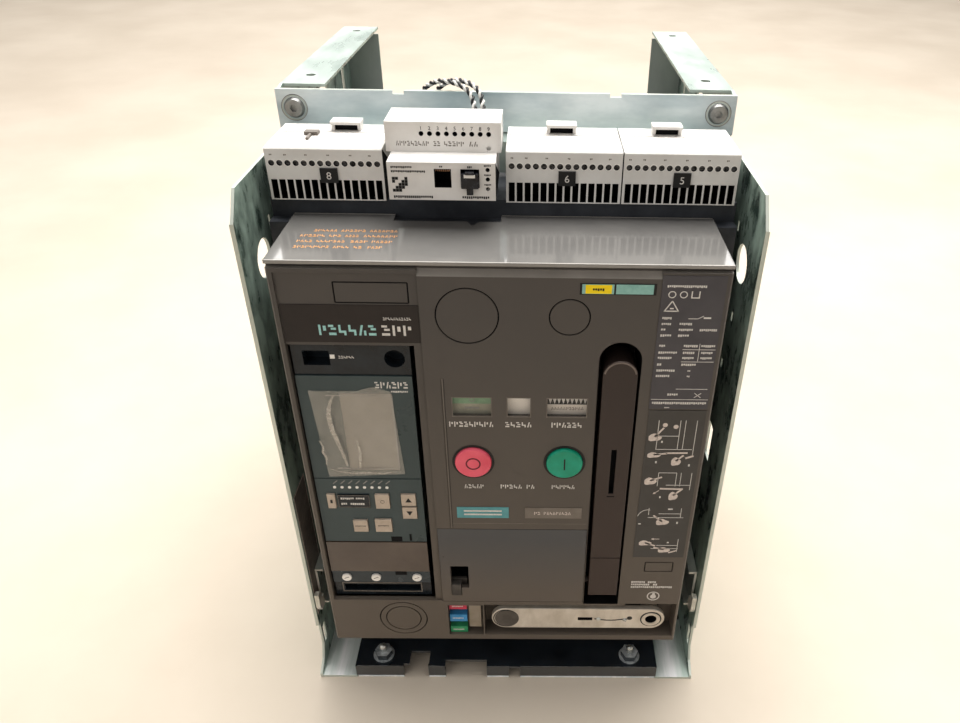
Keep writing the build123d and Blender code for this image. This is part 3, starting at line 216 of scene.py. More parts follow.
# Painted warm reflection: the handle turns a little lighter towards the bottom.
HANDLE = surface("handle_plastic", "392c27", "302623", (0.3, 0.42), 30, 2600, 0.3, edge=1.6,
    rise=(0.12, 0.3))
# Painted highlight: a light bead along the handle's rounded top edge.
HANDLE_RIM_HIGHLIGHT = surface("handle_rim_highlight", "6b5f58", "7d716a", (0.35, 0.45), 120, 2600, 0.3, edge=1.6)
KNOB = surface("knob_plastic", "4a443f", "5a534d", MATT, 100, 2500, 0.3, edge=0.3)
BEIGE = surface("beige_plastic", "857a68", "94887a", MATT, 80, 2500, 0.2, edge=0.3)
GREY_LATCH = surface("latch_plastic", "302d2a", "4c4743", (0.35, 0.45), 80, 2500, 0.2, edge=0.4)
COIL = surface("coil_resin", "3b302a", "4a3d35", (0.3, 0.45), 60, 1500, 0.15, edge=0.6)
GLASS = surface("window_glass", "8a8a86", "9a9a96", (0.05, 0.12), 50, 800, 0.02, alpha=0.06, specular=0.6)
FILM = surface("protective_film", "c4beb2", "dcd7cc", (0.06, 0.16), 90, 700, 0.12, alpha=0.2, specular=1)
# Painted glint: lighter, more opaque film along its folds.
FILM_FOLD_GLINT = surface("film_fold_glint", "b5ada1", "d9d2c7", (0.1, 0.25), 200, 900, alpha=0.42, specular=1)
WHITE_WIRE = surface("white_wire", "c5c4bf", "dedcd7", (0.35, 0.5), 400, 3000)
BLACK_WIRE = surface("black_wire", "121213", "222224", (0.3, 0.45), 400, 3000)

# plates, flags and prints
NAME_PLATE = surface("name_plate", "1d1716", "241d1b", (0.35, 0.45), 60, 3000)
RATING_PLATE = surface("rating_plate", "424045", "4a484c", SATIN, 40, 3000)
PICTURE_PLATE = surface("picture_plate", "3a3836", "42403e", SATIN, 40, 3000)
TEAL_PLATE = surface("teal_plate", "4f8f96", "5c9ca2", SATIN, bump=0.05)
TAUPE_PLATE = surface("taupe_plate", "6b635b", "787068", SATIN, 90, bump=0.05)
MARKER_TEAL = surface("marker_teal", "7fb0a8", "93c1b9", (0.35, 0.45), 200, bump=0.05)
YELLOW = surface("marker_yellow", "f5d400", "fde012", MATT, 200, bump=0.05)
SIDE_LABEL = surface("side_label", "5a544f", "8f8780", (0.3, 0.45), 60)
FLAG_TAUPE = surface("flag_taupe", "94917f", "a29f8d")
# Painted light: the ready and spring flags are lightened against their windows' shade, and darker towards
# the bottom as painted shade.
FLAG_WHITE = surface("flag_white", "d8cfc4", "fffaf2", rise=(0.283, 0.300))
FLAG_SPRING = surface("flag_spring", "cfc5ba", "f4ebe1", rise=(0.283, 0.300))
FLAG_RED = surface("flag_red", "b23038", "c23c44")
FLAG_GREEN = surface("flag_green", "6f9472", "86a987")
SCALE_RED = surface("scale_red", "b8324a", "c83e56", SATIN)
SCALE_BLUE = surface("scale_blue", "3585bd", "4292c9", SATIN)
SCALE_GREEN = surface("scale_green", "2f8a5c", "3b9868", SATIN)
LAMP_WHITE = surface("lamp_white", "e4e0da", "f2efea", SATIN)
WHITE_PRINT = ink("white_print", "c9c5c0", "dedad5")
GREY_PRINT = ink("grey_print", "84807c", "98948f")
TEAL_PRINT = ink("teal_print", "8fc4c2", "a8d6d3")
ORANGE_PRINT = ink("orange_print", "c98d55", "dda46c")
PALE_PRINT = ink("pale_print", "c7bab2", "d8ccc4")

NODE_LOOKS = {
    ZINC: "left_side_plate right_side_plate rear_cross_member terminal_carrier left_draw_out_rail "
          "right_draw_out_rail",
    ZINC_BAR: "top_crossbar",
    BLACK_STEEL: "front_cross_member",
    BOLT_TOP_HIGHLIGHT: "base_bolts",
    DULL_STEEL: "crossbar_screws trip_lever close_lever racking_cross_shaft main_shaft coupling_links "
                "mechanism_frame cam_shaft closing_spring",
    SCREW_STEEL: "racking_spindle",
    CRANK_STEEL: "crank_arm",
    ARC_STEEL: "arc_chutes",
    COPPER: "main_terminals bus_stubs finger_clusters contact_arms",
    COIL: "current_transformers",
    HOUSING: "rear_contact_housing pole_housing_front pole_housing_rear",
    TERMINAL: "terminal_blocks",
    SCREW_HOLE_SHADE: "terminal_screws",
    MODULE: "module_upper_housing module_lower_housing",
    PLUG: "network_plug",
    BLACK_WIRE: "wire_pairs",
    PANEL: "front_panel",
    COVER: "top_cover",
    FLAP: "lower_cover",
    RATING_PLATE: "label_plates",
    BEIGE: "position_pointer",
    GLASS: "indicator_windows",
    FLAG_TAUPE: "contact_flag",
    FLAG_WHITE: "ready_flag",
    FLAG_SPRING: "spring_flag",
    RED: "open_button",
    GREEN: "close_button",
    GREY_LATCH: "locking_slide",
    HANDLE: "charging_handle",
    KNOB: "crank_knob",
    UNIT_BLACK: "trip_unit_housing rating_plug",
    UNIT_FACE_PAINT: "trip_unit_face",
    DISPLAY: "display",
    UNIT_COVER: "trip_unit_cover",
    KEY: "key_menu key_back key_up key_down key_store key_test",
}
for look, names in NODE_LOOKS.items():
    for node in names.split():
        NODES[node].data.materials.clear()
        NODES[node].data.materials.append(look)

EVERYWHERE = (-1000, 1000)
SOCKET_REACH = 4.8  # radius around the crank's hub


def looks_up(face):
    return face.normal.z > 0.5


def looks_forward(face):
    return face.normal.y < -0.5


def in_crank_socket(face):
    return (face.center.xz / MM - Vector((CRANK_HUB_X, CRANK_HEIGHT))).length < SOCKET_REACH


def paint(node, look, x=EVERYWHERE, depth=EVERYWHERE, z=EVERYWHERE, wanted=lambda face: True):
    """Give the faces of a node whose centres lie between the limits, in millimetres, another look."""
    mesh = NODES[node].data
    mesh.materials.append(look)
    index = len(mesh.materials) - 1
    for polygon in mesh.polygons:
        centre = polygon.center
        places = (centre.x / MM, (centre.y - PANEL_Y) / MM, centre.z / MM)
        inside = all(low < place < high for place, (low, high) in zip(places, (x, depth, z)))
        if inside and wanted(polygon):
            polygon.material_index = index


# Side plates: inward faces get painted shade and dark reflection, faces looking up or forward painted
# highlight, and the feet a lighter painted highlight.
for name, side in (("left_side_plate", -1), ("right_side_plate", 1)):
    paint(name, ZINC_INSIDE_SHADE, wanted=lambda face, side=side: side * face.normal.x < -0.5)
    paint(name, ZINC_HIGHLIGHT, z=(-1, 455), wanted=looks_up)
    paint(name, ZINC_HIGHLIGHT, wanted=looks_forward)
    paint(name, ZINC_FOOT_HIGHLIGHT, z=(-1, 5), wanted=looks_up)
# Rails: upward faces get painted highlight, and forward faces the light colour of the front parts as painted
# highlight.
for name in ("left_draw_out_rail", "right_draw_out_rail"):
    paint(name, ZINC_HIGHLIGHT, wanted=looks_up)
    paint(name, RAIL_FRONT, depth=(-100, 40))
    paint(name, RAIL_FRONT, wanted=looks_forward)
# Painted highlight on the crossbar's upward faces.
paint("top_crossbar", ZINC_HIGHLIGHT, wanted=looks_up)
# Painted shade on the bolts' sides.
paint("base_bolts", BOLT_SIDE_SHADE, wanted=lambda face: face.normal.z < 0.5)
# Painted shade inside the terminal blocks' openings and on the sides of the screw holes.
paint("terminal_blocks", PAINTED_SHADE, depth=(66.1, 90), z=(408.5, 438))
paint("terminal_screws", PAINTED_SHADE, wanted=lambda face: abs(face.normal.y) < 0.5)
# Painted shade inside the module housings' openings.
paint("module_upper_housing", PAINTED_SHADE, (-60, -3), (67.1, 80), (444, 457))
paint("module_lower_housing", PAINTED_SHADE, (-43, -3), (47.1, 64), (424, 440))
# Painted highlight on the ledge's upward faces.
paint("front_panel", LEDGE_HIGHLIGHT, depth=(-10, 4), z=(387, 400), wanted=lambda face: face.normal.z > 0.3)
# Painted shade on the floors of the panel's grooves, in the handle's well and in the crank's socket.
for groove in (0.7, 2.2):
    paint("front_panel", PAINTED_SHADE, depth=(groove - 0.03, groove + 0.03))
paint("front_panel", BLACK, (61.5, 90), (1.6, 100), (97, 343.5))
paint("front_panel", PAINTED_SHADE, (110, 126), (15.1, 21), (70, 86))
# Painted shade in the crank arm's socket and slot, and in the handle's finger slot.
paint("crank_arm", PAINTED_SHADE, depth=(2.1, 30), wanted=in_crank_socket)
paint("crank_arm", PAINTED_SHADE, (58, 71), (2.1, 30), (75, 80))
paint("charging_handle", PAINTED_SHADE, (74.2, 78.4), (-0.8, 100), (216.5, 257.5))
paint("trip_unit_cover", UNIT_STRIP, z=(0, 131.4))


# ---- pieces
def mount(name, mesh, material, body, smooth=True):
    """Object of a mesh that rides on a body."""
    mesh.materials.clear()
    mesh.materials.append(material)
    if smooth:
        mesh.polygons.foreach_set("use_smooth", [True] * len(mesh.polygons))
    made = bpy.data.objects.new(name, mesh)
    bpy.context.scene.collection.objects.link(made)
    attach(made, body)
    return made


def piece(name, vertices, faces, material, body, slot, smooth=False):
    """Mesh piece from vertices and faces."""
    mesh = bpy.data.meshes.new(name)
    mesh.from_pydata([tuple(v) for v in vertices], [], faces)
    mesh.update()
    return mount(name, mesh, material, body, smooth)


def mesh_of(curve):
    """Mesh of a curve or a text in its own axes."""
    holder = bpy.data.objects.new(curve.name + "_path", curve)
    bpy.context.scene.collection.objects.link(holder)
    bpy.context.view_layer.update()
    mesh = bpy.data.meshes.new_from_object(holder.evaluated_get(bpy.context.evaluated_depsgraph_get()))
    bpy.data.objects.remove(holder)
    return mesh


def standing_outlines(outlines, near, far):
    """Vertices and faces of outlines between two planes; near and far place a point of an outline."""
    vertices = []
    faces = []
    for outline in outlines:
        area = sum(a[0] * b[1] - b[0] * a[1] for a, b in zip(outline, outline[1:] + outline[:1]))
        points = outline if area > 0 else outline[::-1]
        first = len(vertices)
        count = len(points)
        vertices += [near(*point) for point in points] + [far(*point) for point in points]
        faces.append([first + index for index in range(count)])
        faces.append([first + count + index for index in reversed(range(count))])
        for index in range(count):
            after = (index + 1) % count
            faces.append([first + after, first + index, first + count + index, first + count + after])
    return vertices, faces


def prisms(name, outlines, depth, material, body="breaker", slot="label"):
    """Flat shapes given as x, z outlines, standing between two depths, as one piece."""
    solids = standing_outlines(outlines, lambda x, z: at(x, depth[0], z), lambda x, z: at(x, depth[1], z))
    return piece(name, *solids, material, body, slot)


def printed(name, outlines, front, material=WHITE_PRINT, body="breaker", slot="label"):
    """Outlines printed on a face at a depth."""
    return prisms(name, outlines, (front - PRINT, front), material, body, slot)


def box_piece(name, x, depth, z, material, body="breaker", slot="label"):
    """Block between pairs of limits."""
    return prisms(name, [rectangle(x, z)], depth, material, body, slot)


def block_list(name, blocks, material, body, slot):
    """Several blocks as one piece; each gives x, depth and z limits."""
    vertices = []
    faces = []
    for x, depth, z in blocks:
        a = len(vertices)
        vertices += [at(i, j, k) for i in x for j in depth for k in z]
        faces += [[a, a + 1, a + 3, a + 2], [a + 4, a + 6, a + 7, a + 5], [a, a + 4, a + 5, a + 1],
            [a + 2, a + 3, a + 7, a + 6], [a + 1, a + 5, a + 7, a + 3], [a, a + 2, a + 6, a + 4]]
    return piece(name, vertices, faces, material, body, slot)


def ring_piece(name, x, z, radius, width, depth, material, body, slot, count=48):
    """Closed ring standing between two depths."""
    vertices = []
    faces = []
    for reach in (radius - width, radius):
        for d in depth:
            vertices += [at(i, d, k) for i, k in circle(x, z, reach, count)]
    section = (0, 2 * count, 3 * count, count)  # starts of the four circles around the ring's section
    for i in range(count):
        j = (i + 1) % count
        faces += [[a + i, b + i, b + j, a + j] for a, b in zip(section, section[1:] + section[:1])]
    return piece(name, vertices, faces, material, body, slot)


def curve_through(name, kind, points):
    """Curve with one line through points in metres, and that line."""
    curve = bpy.data.curves.new(name, "CURVE")
    curve.dimensions = "3D"
    line = curve.splines.new(kind)
    line.points.add(len(points) - 1)
    for target, point in zip(line.points, points):
        target.co = (*point, 1)
    return curve, line


def tube_mesh(name, points, radius, material, body, resolution=3):
    """Round bar along points in metres."""
    curve = curve_through(name, "POLY", points)[0]
    curve.bevel_depth = radius * MM
    curve.bevel_resolution = resolution
    curve.use_fill_caps = True
    return mount(name, mesh_of(curve), material, body)


def ball(name, centre, radius, material, body, slot):
    """Small sphere."""
    rings, sides = 10, 18
    vertices = [centre + Vector((0, 0, radius * MM))]
    for ring in range(1, rings):
        polar = pi * ring / rings
        for side in range(sides):
            turn = tau * side / sides
            out = Vector((sin(polar) * cos(turn), sin(polar) * sin(turn), cos(polar)))
            vertices.append(centre + radius * MM * out)
    vertices.append(centre - Vector((0, 0, radius * MM)))
    faces = [[0, 1 + side, 1 + (side + 1) % sides] for side in range(sides)]
    for ring in range(rings - 2):
        for side in range(sides):
            a = 1 + ring * sides + side
            b = 1 + ring * sides + (side + 1) % sides
            faces.append([a, a + sides, b + sides, b])
    last = len(vertices) - 1
    base = 1 + (rings - 2) * sides
    faces += [[last, base + (side + 1) % sides, base + side] for side in range(sides)]
    return piece(name, vertices, faces, material, body, slot, smooth=True)


def digit(name, text, x, depth, z, height, material):
    """Upright generic digit on the guide frame, facing forward."""
    font = bpy.data.curves.new(name, "FONT")
    font.body = text
    font.size = height * 1.4 * MM
    font.align_x = "CENTER"
    font.extrude = 0.05 * MM
    mesh = mesh_of(font)
    mesh.transform(Matrix.Translation(at(x, depth, z)) @ Matrix.Rotation(radians(90), 4, "X"))
    return mount(name, mesh, material, FRAME, smooth=False)


# ---- outlines
def rectangle(x, z):
    return [(x[0], z[0]), (x[1], z[0]), (x[1], z[1]), (x[0], z[1])]


def bars(*limits):
    """Rectangles, each given as left, right, bottom, top."""
    return [rectangle((left, right), (bottom, top)) for left, right, bottom, top in limits]


def circle(x, z, radius, count=32):
    return [(x + radius * cos(tau * i / count), z + radius * sin(tau * i / count)) for i in range(count)]


def stroke(start, end, width):
    """Straight line of a width as an outline."""
    side = Vector((start[1] - end[1], end[0] - start[0])).normalized() * (width / 2)
    corners = ((start, -1), (end, -1), (end, 1), (start, 1))
    return [(x + sign * side.x, z + sign * side.y) for (x, z), sign in corners]


def strokes(width, *lines):
    """Straight lines of one width, each given as x, z, x, z."""
    return [stroke((a, b), (c, d), width) for a, b, c, d in lines]


def path(points, width):
    """Line through x, z points."""
    return [stroke(a, b, width) for a, b in zip(points, points[1:])]


def arrow(start, end, width):
    """Line with a solid head at its end, as two outlines."""
    along = Vector((end[0] - start[0], end[1] - start[1])).normalized()
    across = Vector((-along.y, along.x))
    tip = Vector(end)
    back = tip - along * width * 4
    head = [tuple(back - across * width * 2), tuple(tip), tuple(back + across * width * 2)]
    return [stroke(start, tuple(back), width), head]


def ring_outlines(x, z, radius, width, count=36):
    """Ring as short straight bars, for printed circles."""
    outlines = []
    inner = radius - width
    for index in range(count):
        a = tau * index / count
        b = tau * (index + 1) / count
        corners = ((inner, a), (radius, a), (radius, b), (inner, b))
        outlines.append([(x + reach * cos(turn), z + reach * sin(turn)) for reach, turn in corners])
    return outlines


def frame_outlines(x, z, width):
    """Rectangular frame as four bars inside its limits."""
    return [rectangle(x, (z[0], z[0] + width)), rectangle(x, (z[1] - width, z[1])),
        rectangle((x[0], x[0] + width), (z[0] + width, z[1] - width)),
        rectangle((x[1] - width, x[1]), (z[0] + width, z[1] - width))]


def generic_words(name, rows):
    """Outlines of abstract marks that fill words given as x limits, base height and mark height.

    The marks are leaning bars, steps and stacked blocks; none of them is a letter.
    """
    rng = random.Random(f"{SEED}{name}")
    outlines = []
    for x0, x1, z, height in rows:
        count = max(1, round((x1 - x0) / (height * 0.8)))
        step = (x1 - x0) / count
        for index in range(count):
            left = x0 + index * step
            right = left + step * 0.74
            bar = (right - left) * 0.3
            top = z + height
            middle = z + height * rng.uniform(0.4, 0.56)
            form = rng.randrange(4) if height > 1.9 else 4
            if form == 0:  # leaning bar beside a low block
                outlines += [[(left, z), (left + bar, z), (left + 2.2 * bar, top), (left + 1.2 * bar, top)],
                    rectangle((right - bar, right), (z, middle))]
            elif form == 1:  # stacked blocks
                outlines += bars((left, right, z, z + 0.24 * height),
                    (left + bar, right, middle, middle + 0.2 * height),
                    (left, right - bar, top - 0.2 * height, top))
            elif form == 2:  # step
                low = middle - 0.2 * height
                outlines += bars((left, left + bar, middle, top), (left, right, low, middle),
                    (right - bar, right, z, low))
            elif form == 3:  # bar with a raised dot
                outlines += bars((left, left + bar, z, top), (right - 1.3 * bar, right, middle,
                    top - 0.1 * height))
            else:
                outlines.append(rectangle((left, right), (z + height * rng.choice((0, 0.2)), top)))
    return outlines


def row(z, height, *spans):
    """Word limits of one line for generic_words."""
    return [(left, right, z, height) for left, right in spans]


def words(name, rows, depth, material=WHITE_PRINT, body="breaker"):
    return printed(name, generic_words(name, rows), depth, material, body)


# ---- printed plates
paint("label_plates", NAME_PLATE, x=(-200, -48))
paint("label_plates", PICTURE_PLATE, x=(96, 200), z=(0, 291.5))
paint("label_plates", TEAL_PLATE, x=(-48, 10), z=(0, 370))
paint("label_plates", TAUPE_PLATE, x=(10, 96), z=(0, 370))
paint("label_plates", MARKER_TEAL, x=(-48, 96), z=(370, 500))

words("name_plate_marks", row(345.5, 7.4, (-113, -76)), SUNK_STEP - LABEL, TEAL_PRINT)
words("name_plate_marks_white", row(345.5, 7.4, (-74, -54)) + row(356.6, 2, (-72.5, -55)),
    SUNK_STEP - LABEL)
words("captions", row(275.3, 4.2, (-35.7, -5.5), (1.8, 20.2), (32.8, 53.9))
    + row(220.2, 3.6, (-27.6, -13.4), (-2, 13.6), (16.4, 22.6), (34.2, 51)), 0)
words("type_plate_marks", row(195.2, 2.8, (22, 27), (29, 49)), PLATE_FRONT, PALE_PRINT)
printed("maker_plate_marks", bars((-29, -1.5, 194.4, 195.8), (-29, -1.5, 197.8, 199.2)), PLATE_FRONT)
box_piece("marker_backing", (47.6, 93.8), (-0.15, 0), (376.7, 384.5), BLACK)
box_piece("marker_sticker", (51, 66.8), (PLATE_FRONT - 0.2, PLATE_FRONT), (377.7, 383.5), YELLOW)
words("marker_sticker_marks", row(379.6, 1.7, (55.4, 62.6)), PLATE_FRONT - 0.2, BLACK)

RATING_ROWS = (
    (382.4, 1.6, (100, 124)), (360.4, 1.6, (99, 105)), (356.4, 1.4, (99, 105)), (356.4, 1.6, (110, 118)),
    (352.2, 1.6, (99, 102), (110, 119), (123, 134)), (348, 1.6, (99, 106), (110, 117)),
    (340.4, 1.6, (99, 103)), (340.4, 1.7, (114.5, 123.5), (125.5, 134.5)),
    (335.4, 1.6, (99, 111), (114.5, 122), (126, 133.5)),
    (331.4, 1.6, (99, 108), (114.5, 122), (126, 133.5)), (326.4, 1.6, (99, 102), (114.5, 124)),
    (321.8, 1.6, (99, 111)), (321.8, 1.2, (119, 121)), (317.6, 1.6, (99, 108)), (317.6, 1.2, (119, 121)),
    (303, 1.6, (108, 115)), (296, 1.8, (98.5, 134.5)), (292.8, 0.8, (107, 110.4)),
)
words("rating_marks", sum((row(*values) for values in RATING_ROWS), []), PLATE_FRONT)
rating_lines = strokes(0.35, (114, 338.6, 134.8, 338.6), (124.5, 343, 124.5, 330),
    (114, 329.4, 134.8, 329.4), (113, 308.2, 133.6, 308.2), (97.6, 299.8, 135, 299.8))
rating_lines += strokes(0.4, (125.6, 305, 130, 301.4), (125.6, 301.4, 130, 305), (115, 361, 121, 361),
    (121, 361, 124.4, 363))
rating_lines += strokes(1.1, (124.4, 361.6, 129, 361.6)) + strokes(0.8, (103, 368, 105.2, 368))
rating_lines += strokes(0.7, (99.6, 366, 104, 373.2), (104, 373.2, 108.4, 366), (99.4, 366.2, 108.6, 366.2))
rating_lines += ring_outlines(103.4, 377.6, 2.4, 0.6) + ring_outlines(110.4, 377.6, 2.4, 0.6)
rating_lines += bars((115, 115.7, 375.2, 380), (119.6, 120.3, 375.2, 380), (115.7, 119.6, 375.2, 375.9))
printed("rating_symbols", rating_lines, PLATE_FRONT)


def hand(x, z, width, height, finger_x, finger_z):
    """Generic hand: an uneven palm and one pointing finger that ends at a point."""
    palm = []
    for index in range(18):
        angle = tau * index / 18
        reach = 1 + 0.12 * cos(3 * angle + 0.6) + 0.06 * sin(5 * angle)
        palm.append((x + width / 2 * reach * cos(angle), z + height / 2 * reach * sin(angle)))
    return [palm, stroke((x, z + height * 0.1), (finger_x, finger_z), 1.3)]


HANDS = (
    (103, 267.8, 9, 6.2, 108.6, 276.2), (103.6, 252.4, 9.4, 4.6, 113, 254),
    (119.6, 246.6, 6.8, 7.2, 124.5, 252.4), (103.4, 228.4, 8.8, 6.4, 111.6, 232.4),
    (121, 214.4, 6.6, 7.6, 126.6, 220.8), (115.8, 188.8, 9.6, 6, 109, 195.4),
    (105, 167, 9.6, 5, 113, 164.2), (119.8, 159.8, 9.2, 5.4, 112, 162.6),
)
pale = [outline for values in HANDS for outline in hand(*values)]
pale += strokes(1.3, (112, 254.2, 127, 254.6)) + strokes(1.5, (126, 249.8, 131.4, 252))
pale += strokes(1.4, (111, 221.6, 127.5, 221.2)) + strokes(1.2, (123.6, 157, 129.8, 159.4))
pale += [circle(109.2, 278.6, 1.7, 16), circle(116.6, 277.2, 1.7, 16)]
pale += arrow((110.6, 219.8), (106.4, 216.4), 0.5) + arrow((115.6, 171.4), (109.4, 171.4), 0.5)
printed("pictogram_hands", pale, PLATE_FRONT, PALE_PRINT)

THIN_LINES = (
    (104.8, 257.4, 104.8, 282.6), (119.4, 257.4, 119.4, 282.6), (122.9, 257.4, 122.9, 282.6),
    (130.5, 253, 130.5, 282.6), (104.8, 269.2, 119.4, 269.2), (104.4, 257.6, 129.6, 257.6),
    (108.9, 236.4, 121.6, 236.4), (108.9, 224, 108.9, 236.4), (121.6, 224, 121.6, 236.4),
    (124.8, 224, 124.8, 236.4), (132.2, 220.6, 132.2, 236.4), (115, 225, 132.2, 225),
    (105.2, 196, 105.2, 202.6), (128.7, 193.6, 128.7, 202.6), (112.6, 197.2, 128.7, 197.2),
    (105, 193.4, 131, 193.4), (129.8, 158, 129.8, 171.4), (114, 164.8, 129.8, 164.8),
    (110, 161.4, 130.4, 161.4),
)
turns = [pi - 0.35 - 0.18 * index for index in range(9)]
thin = strokes(0.4, *THIN_LINES) + path([(104.5 + 7.5 * cos(a), 191.5 + 9.5 * sin(a)) for a in turns], 0.4)
thin += bars((98.6, 100.4, 186.4, 187.4), (119, 122.4, 201.2, 202.4), (126.4, 127.6, 187.2, 189.2),
    (107.8, 108.9, 263.4, 265), (105.4, 106.5, 245.2, 247), (128.6, 129.8, 242.6, 244.4),
    (111.4, 112.4, 212.6, 214.4), (121.6, 123, 167.2, 168.4))
printed("pictogram_lines", thin, PLATE_FRONT)
words("address_marks", row(122.9, 1.9, (98.4, 109.4), (111.4, 118))
    + row(120.1, 1.9, (98.4, 113), (115.6, 119.2)) + row(117.2, 1.9, (98.4, 131)), 0)
printed("round_mark", ring_outlines(116.9, 107.8, 5, 0.8)
    + [circle(116.9, 107.2, 2.3, 12), circle(116.9, 110.2, 1.2, 10)], 0)
# Painted highlight and painted shade along the control field's groove edges.
printed("field_edge_highlight", bars((-38.9, -38.4, 181, 314)), 0, TAUPE_PLATE, slot="panel")
printed("field_edge_shade", bars((-37.9, -37.5, 181, 314)), 0, BLACK, slot="panel")
printed("field_foot_highlight", bars((-37.5, 60.5, 185.6, 186)), 0, TAUPE_PLATE, slot="panel")


# ---- indicators and buttons
def flag_print(name, outlines, front, back, look, flag):
    """Layer on an indicator flag between two distances in front of it."""
    prisms(name, outlines, (FLAG_FRONT - front, FLAG_FRONT - back), look, flag)


starts = [30.4 + 2.9 * index for index in range(9)]
teeth = [[(x, 296.6), (x + 1.35, 291.9), (x + 2.7, 296.6)] for x in starts]
flag_print("spring_symbol_back", bars((29.4, 56.2, 291.4, 297.2)), 0.1, 0, BLACK, "spring_flag")
flag_print("spring_symbol", teeth, 0.2, 0.1, WHITE_PRINT, "spring_flag")
words("spring_flag_marks", row(286.8, 2.4, (32.5, 54.5)), FLAG_FRONT, TAUPE_PLATE, "spring_flag")
flag_print("spring_charged_field", bars((28.6, 57, 301.4, 317.6)), 0.2, 0, YELLOW, "spring_flag")
flag_print("contact_upper_field", bars((-33.2, -7, 291.4, 297.8)), 0.1, 0, FLAG_GREEN, "contact_flag")
flag_print("contact_symbol", ring_outlines(-20.2, 294.6, 1.8, 0.5, 20), 0.2, 0.1, GREY_PRINT, "contact_flag")
words("contact_flag_marks", row(287, 1.7, (-25, -15.4)), FLAG_FRONT, GREY_PRINT, "contact_flag")
flag_print("contact_closed_field", bars((-34, -6.2, 301.4, 317.6)), 0.2, 0, FLAG_RED, "contact_flag")
flag_print("contact_closed_mark", bars((-20.9, -19.5, 306, 313)), 0.3, 0.2, WHITE_PRINT, "contact_flag")
flag_print("ready_field", bars((2.2, 19.7, 301.4, 317.6)), 0.2, 0, SCALE_GREEN, "ready_flag")
for name, limits in {"contacts": (-33.4, -6.9), "ready": (2.9, 19), "spring": (29.2, 56.4)}.items():
    prisms(f"window_rim_{name}", frame_outlines(limits, (283.4, 299.6), 0.6), (0.1, 1), TAUPE_PLATE,
        slot="window")


def front_centre(node):
    """Centre of a node's front as x, z in millimetres, and its depth."""
    low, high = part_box(node)
    return (low.x + high.x) / 2 / MM, (low.z + high.z) / 2 / MM, (low.y - PANEL_Y) / MM


BUTTONS = (("open_button", -20.6, RED_RIM, "red"), ("close_button", 42.5, GREEN_RIM, "green"))
for body, x, rim, slot in BUTTONS:
    z, front = front_centre(body)[1:]
    ring_piece(f"{body}_bezel", x, z, 14.6, 1.5, (-0.35, 0.2), BLACK, "breaker", "panel")
    # Each button's rim ring is painted shade on its edge.
    ring_piece(f"{body}_rim", x, z, 12.4, 1.3, (front + 1, front + 1.6), rim, body, slot)
    if body == "open_button":
        ring_piece("open_symbol", x, z, 5.2, 1, (front - PRINT, front), RED_RIM, body, "label")
    else:
        printed("close_symbol", bars((x - 0.5, x + 0.5, z - 4.8, z + 4.8)), front, BLACK, body)

# ---- trip unit
FILM_COLUMNS, FILM_ROWS = 60, 84
FILM_THICKNESS = 0.08
FILM_LEFT = (Vector((-122.8, 227.6)), Vector((-127.1, 301.9)))  # foot and head of each long edge
FILM_RIGHT = (Vector((-69.2, 230.5)), Vector((-73.1, 301.8)))


def film_point(u, v, gap):
    """Point of the crumpled film at a share of its width and height."""
    left = FILM_LEFT[0].lerp(FILM_LEFT[1], v)
    right = FILM_RIGHT[0].lerp(FILM_RIGHT[1], v)
    x, z = left.lerp(right, u)
    z += 3.6 * max(0, v - 0.9) * 10 * max(0, 1 - abs(u - 0.78) * 5)  # torn peak at the top
    crease = 9 * sin(pi * min(1, v * 1.1)) * 0.6
    place = Vector((x * 0.08, z * 0.05, SEED))
    fold = abs(noise.noise(place)) + 0.4 * abs(noise.noise(place * 2.3 + Vector((3, 1, 0))))
    loose = 1 if u < 0.22 else 0.15
    ridge = max(0, 1 - abs(x + 108 + crease) / 1.6)
    return at(x, UNIT_FACE - 0.45 - loose * 1.6 * fold - 0.9 * ridge + gap, z)


def display_film():
    """Protective film over the display, as a closed sheet with two sides and an edge."""
    vertices = [film_point(column / FILM_COLUMNS, level / FILM_ROWS, gap) for gap in (0, FILM_THICKNESS)
        for level in range(FILM_ROWS + 1) for column in range(FILM_COLUMNS + 1)]
    width = FILM_COLUMNS + 1
    back = width * (FILM_ROWS + 1)
    faces = []
    for level in range(FILM_ROWS):
        for column in range(FILM_COLUMNS):
            a = level * width + column
            faces.append([a, a + 1, a + 1 + width, a + width])
            faces.append([back + a + width, back + a + 1 + width, back + a + 1, back + a])
    edge = list(range(width))
    edge += [level * width + FILM_COLUMNS for level in range(1, FILM_ROWS + 1)]
    edge += [FILM_ROWS * width + column for column in reversed(range(FILM_COLUMNS))]
    edge += [level * width for level in reversed(range(1, FILM_ROWS))]
    faces += [[b, a, a + back, b + back] for a, b in zip(edge, edge[1:] + edge[:1])]
    piece("display_film", vertices, faces, FILM, "breaker", "window", smooth=True)


def fold_glint_strip(width, *points):
    """Tapering painted highlight along a fold of the film, through x, z points."""
    count = len(points) - 1
    return [stroke(a, b, width * (0.35 + 0.65 * sin(pi * (index + 0.5) / count)))
        for index, (a, b) in enumerate(zip(points, points[1:]))]


display_film()
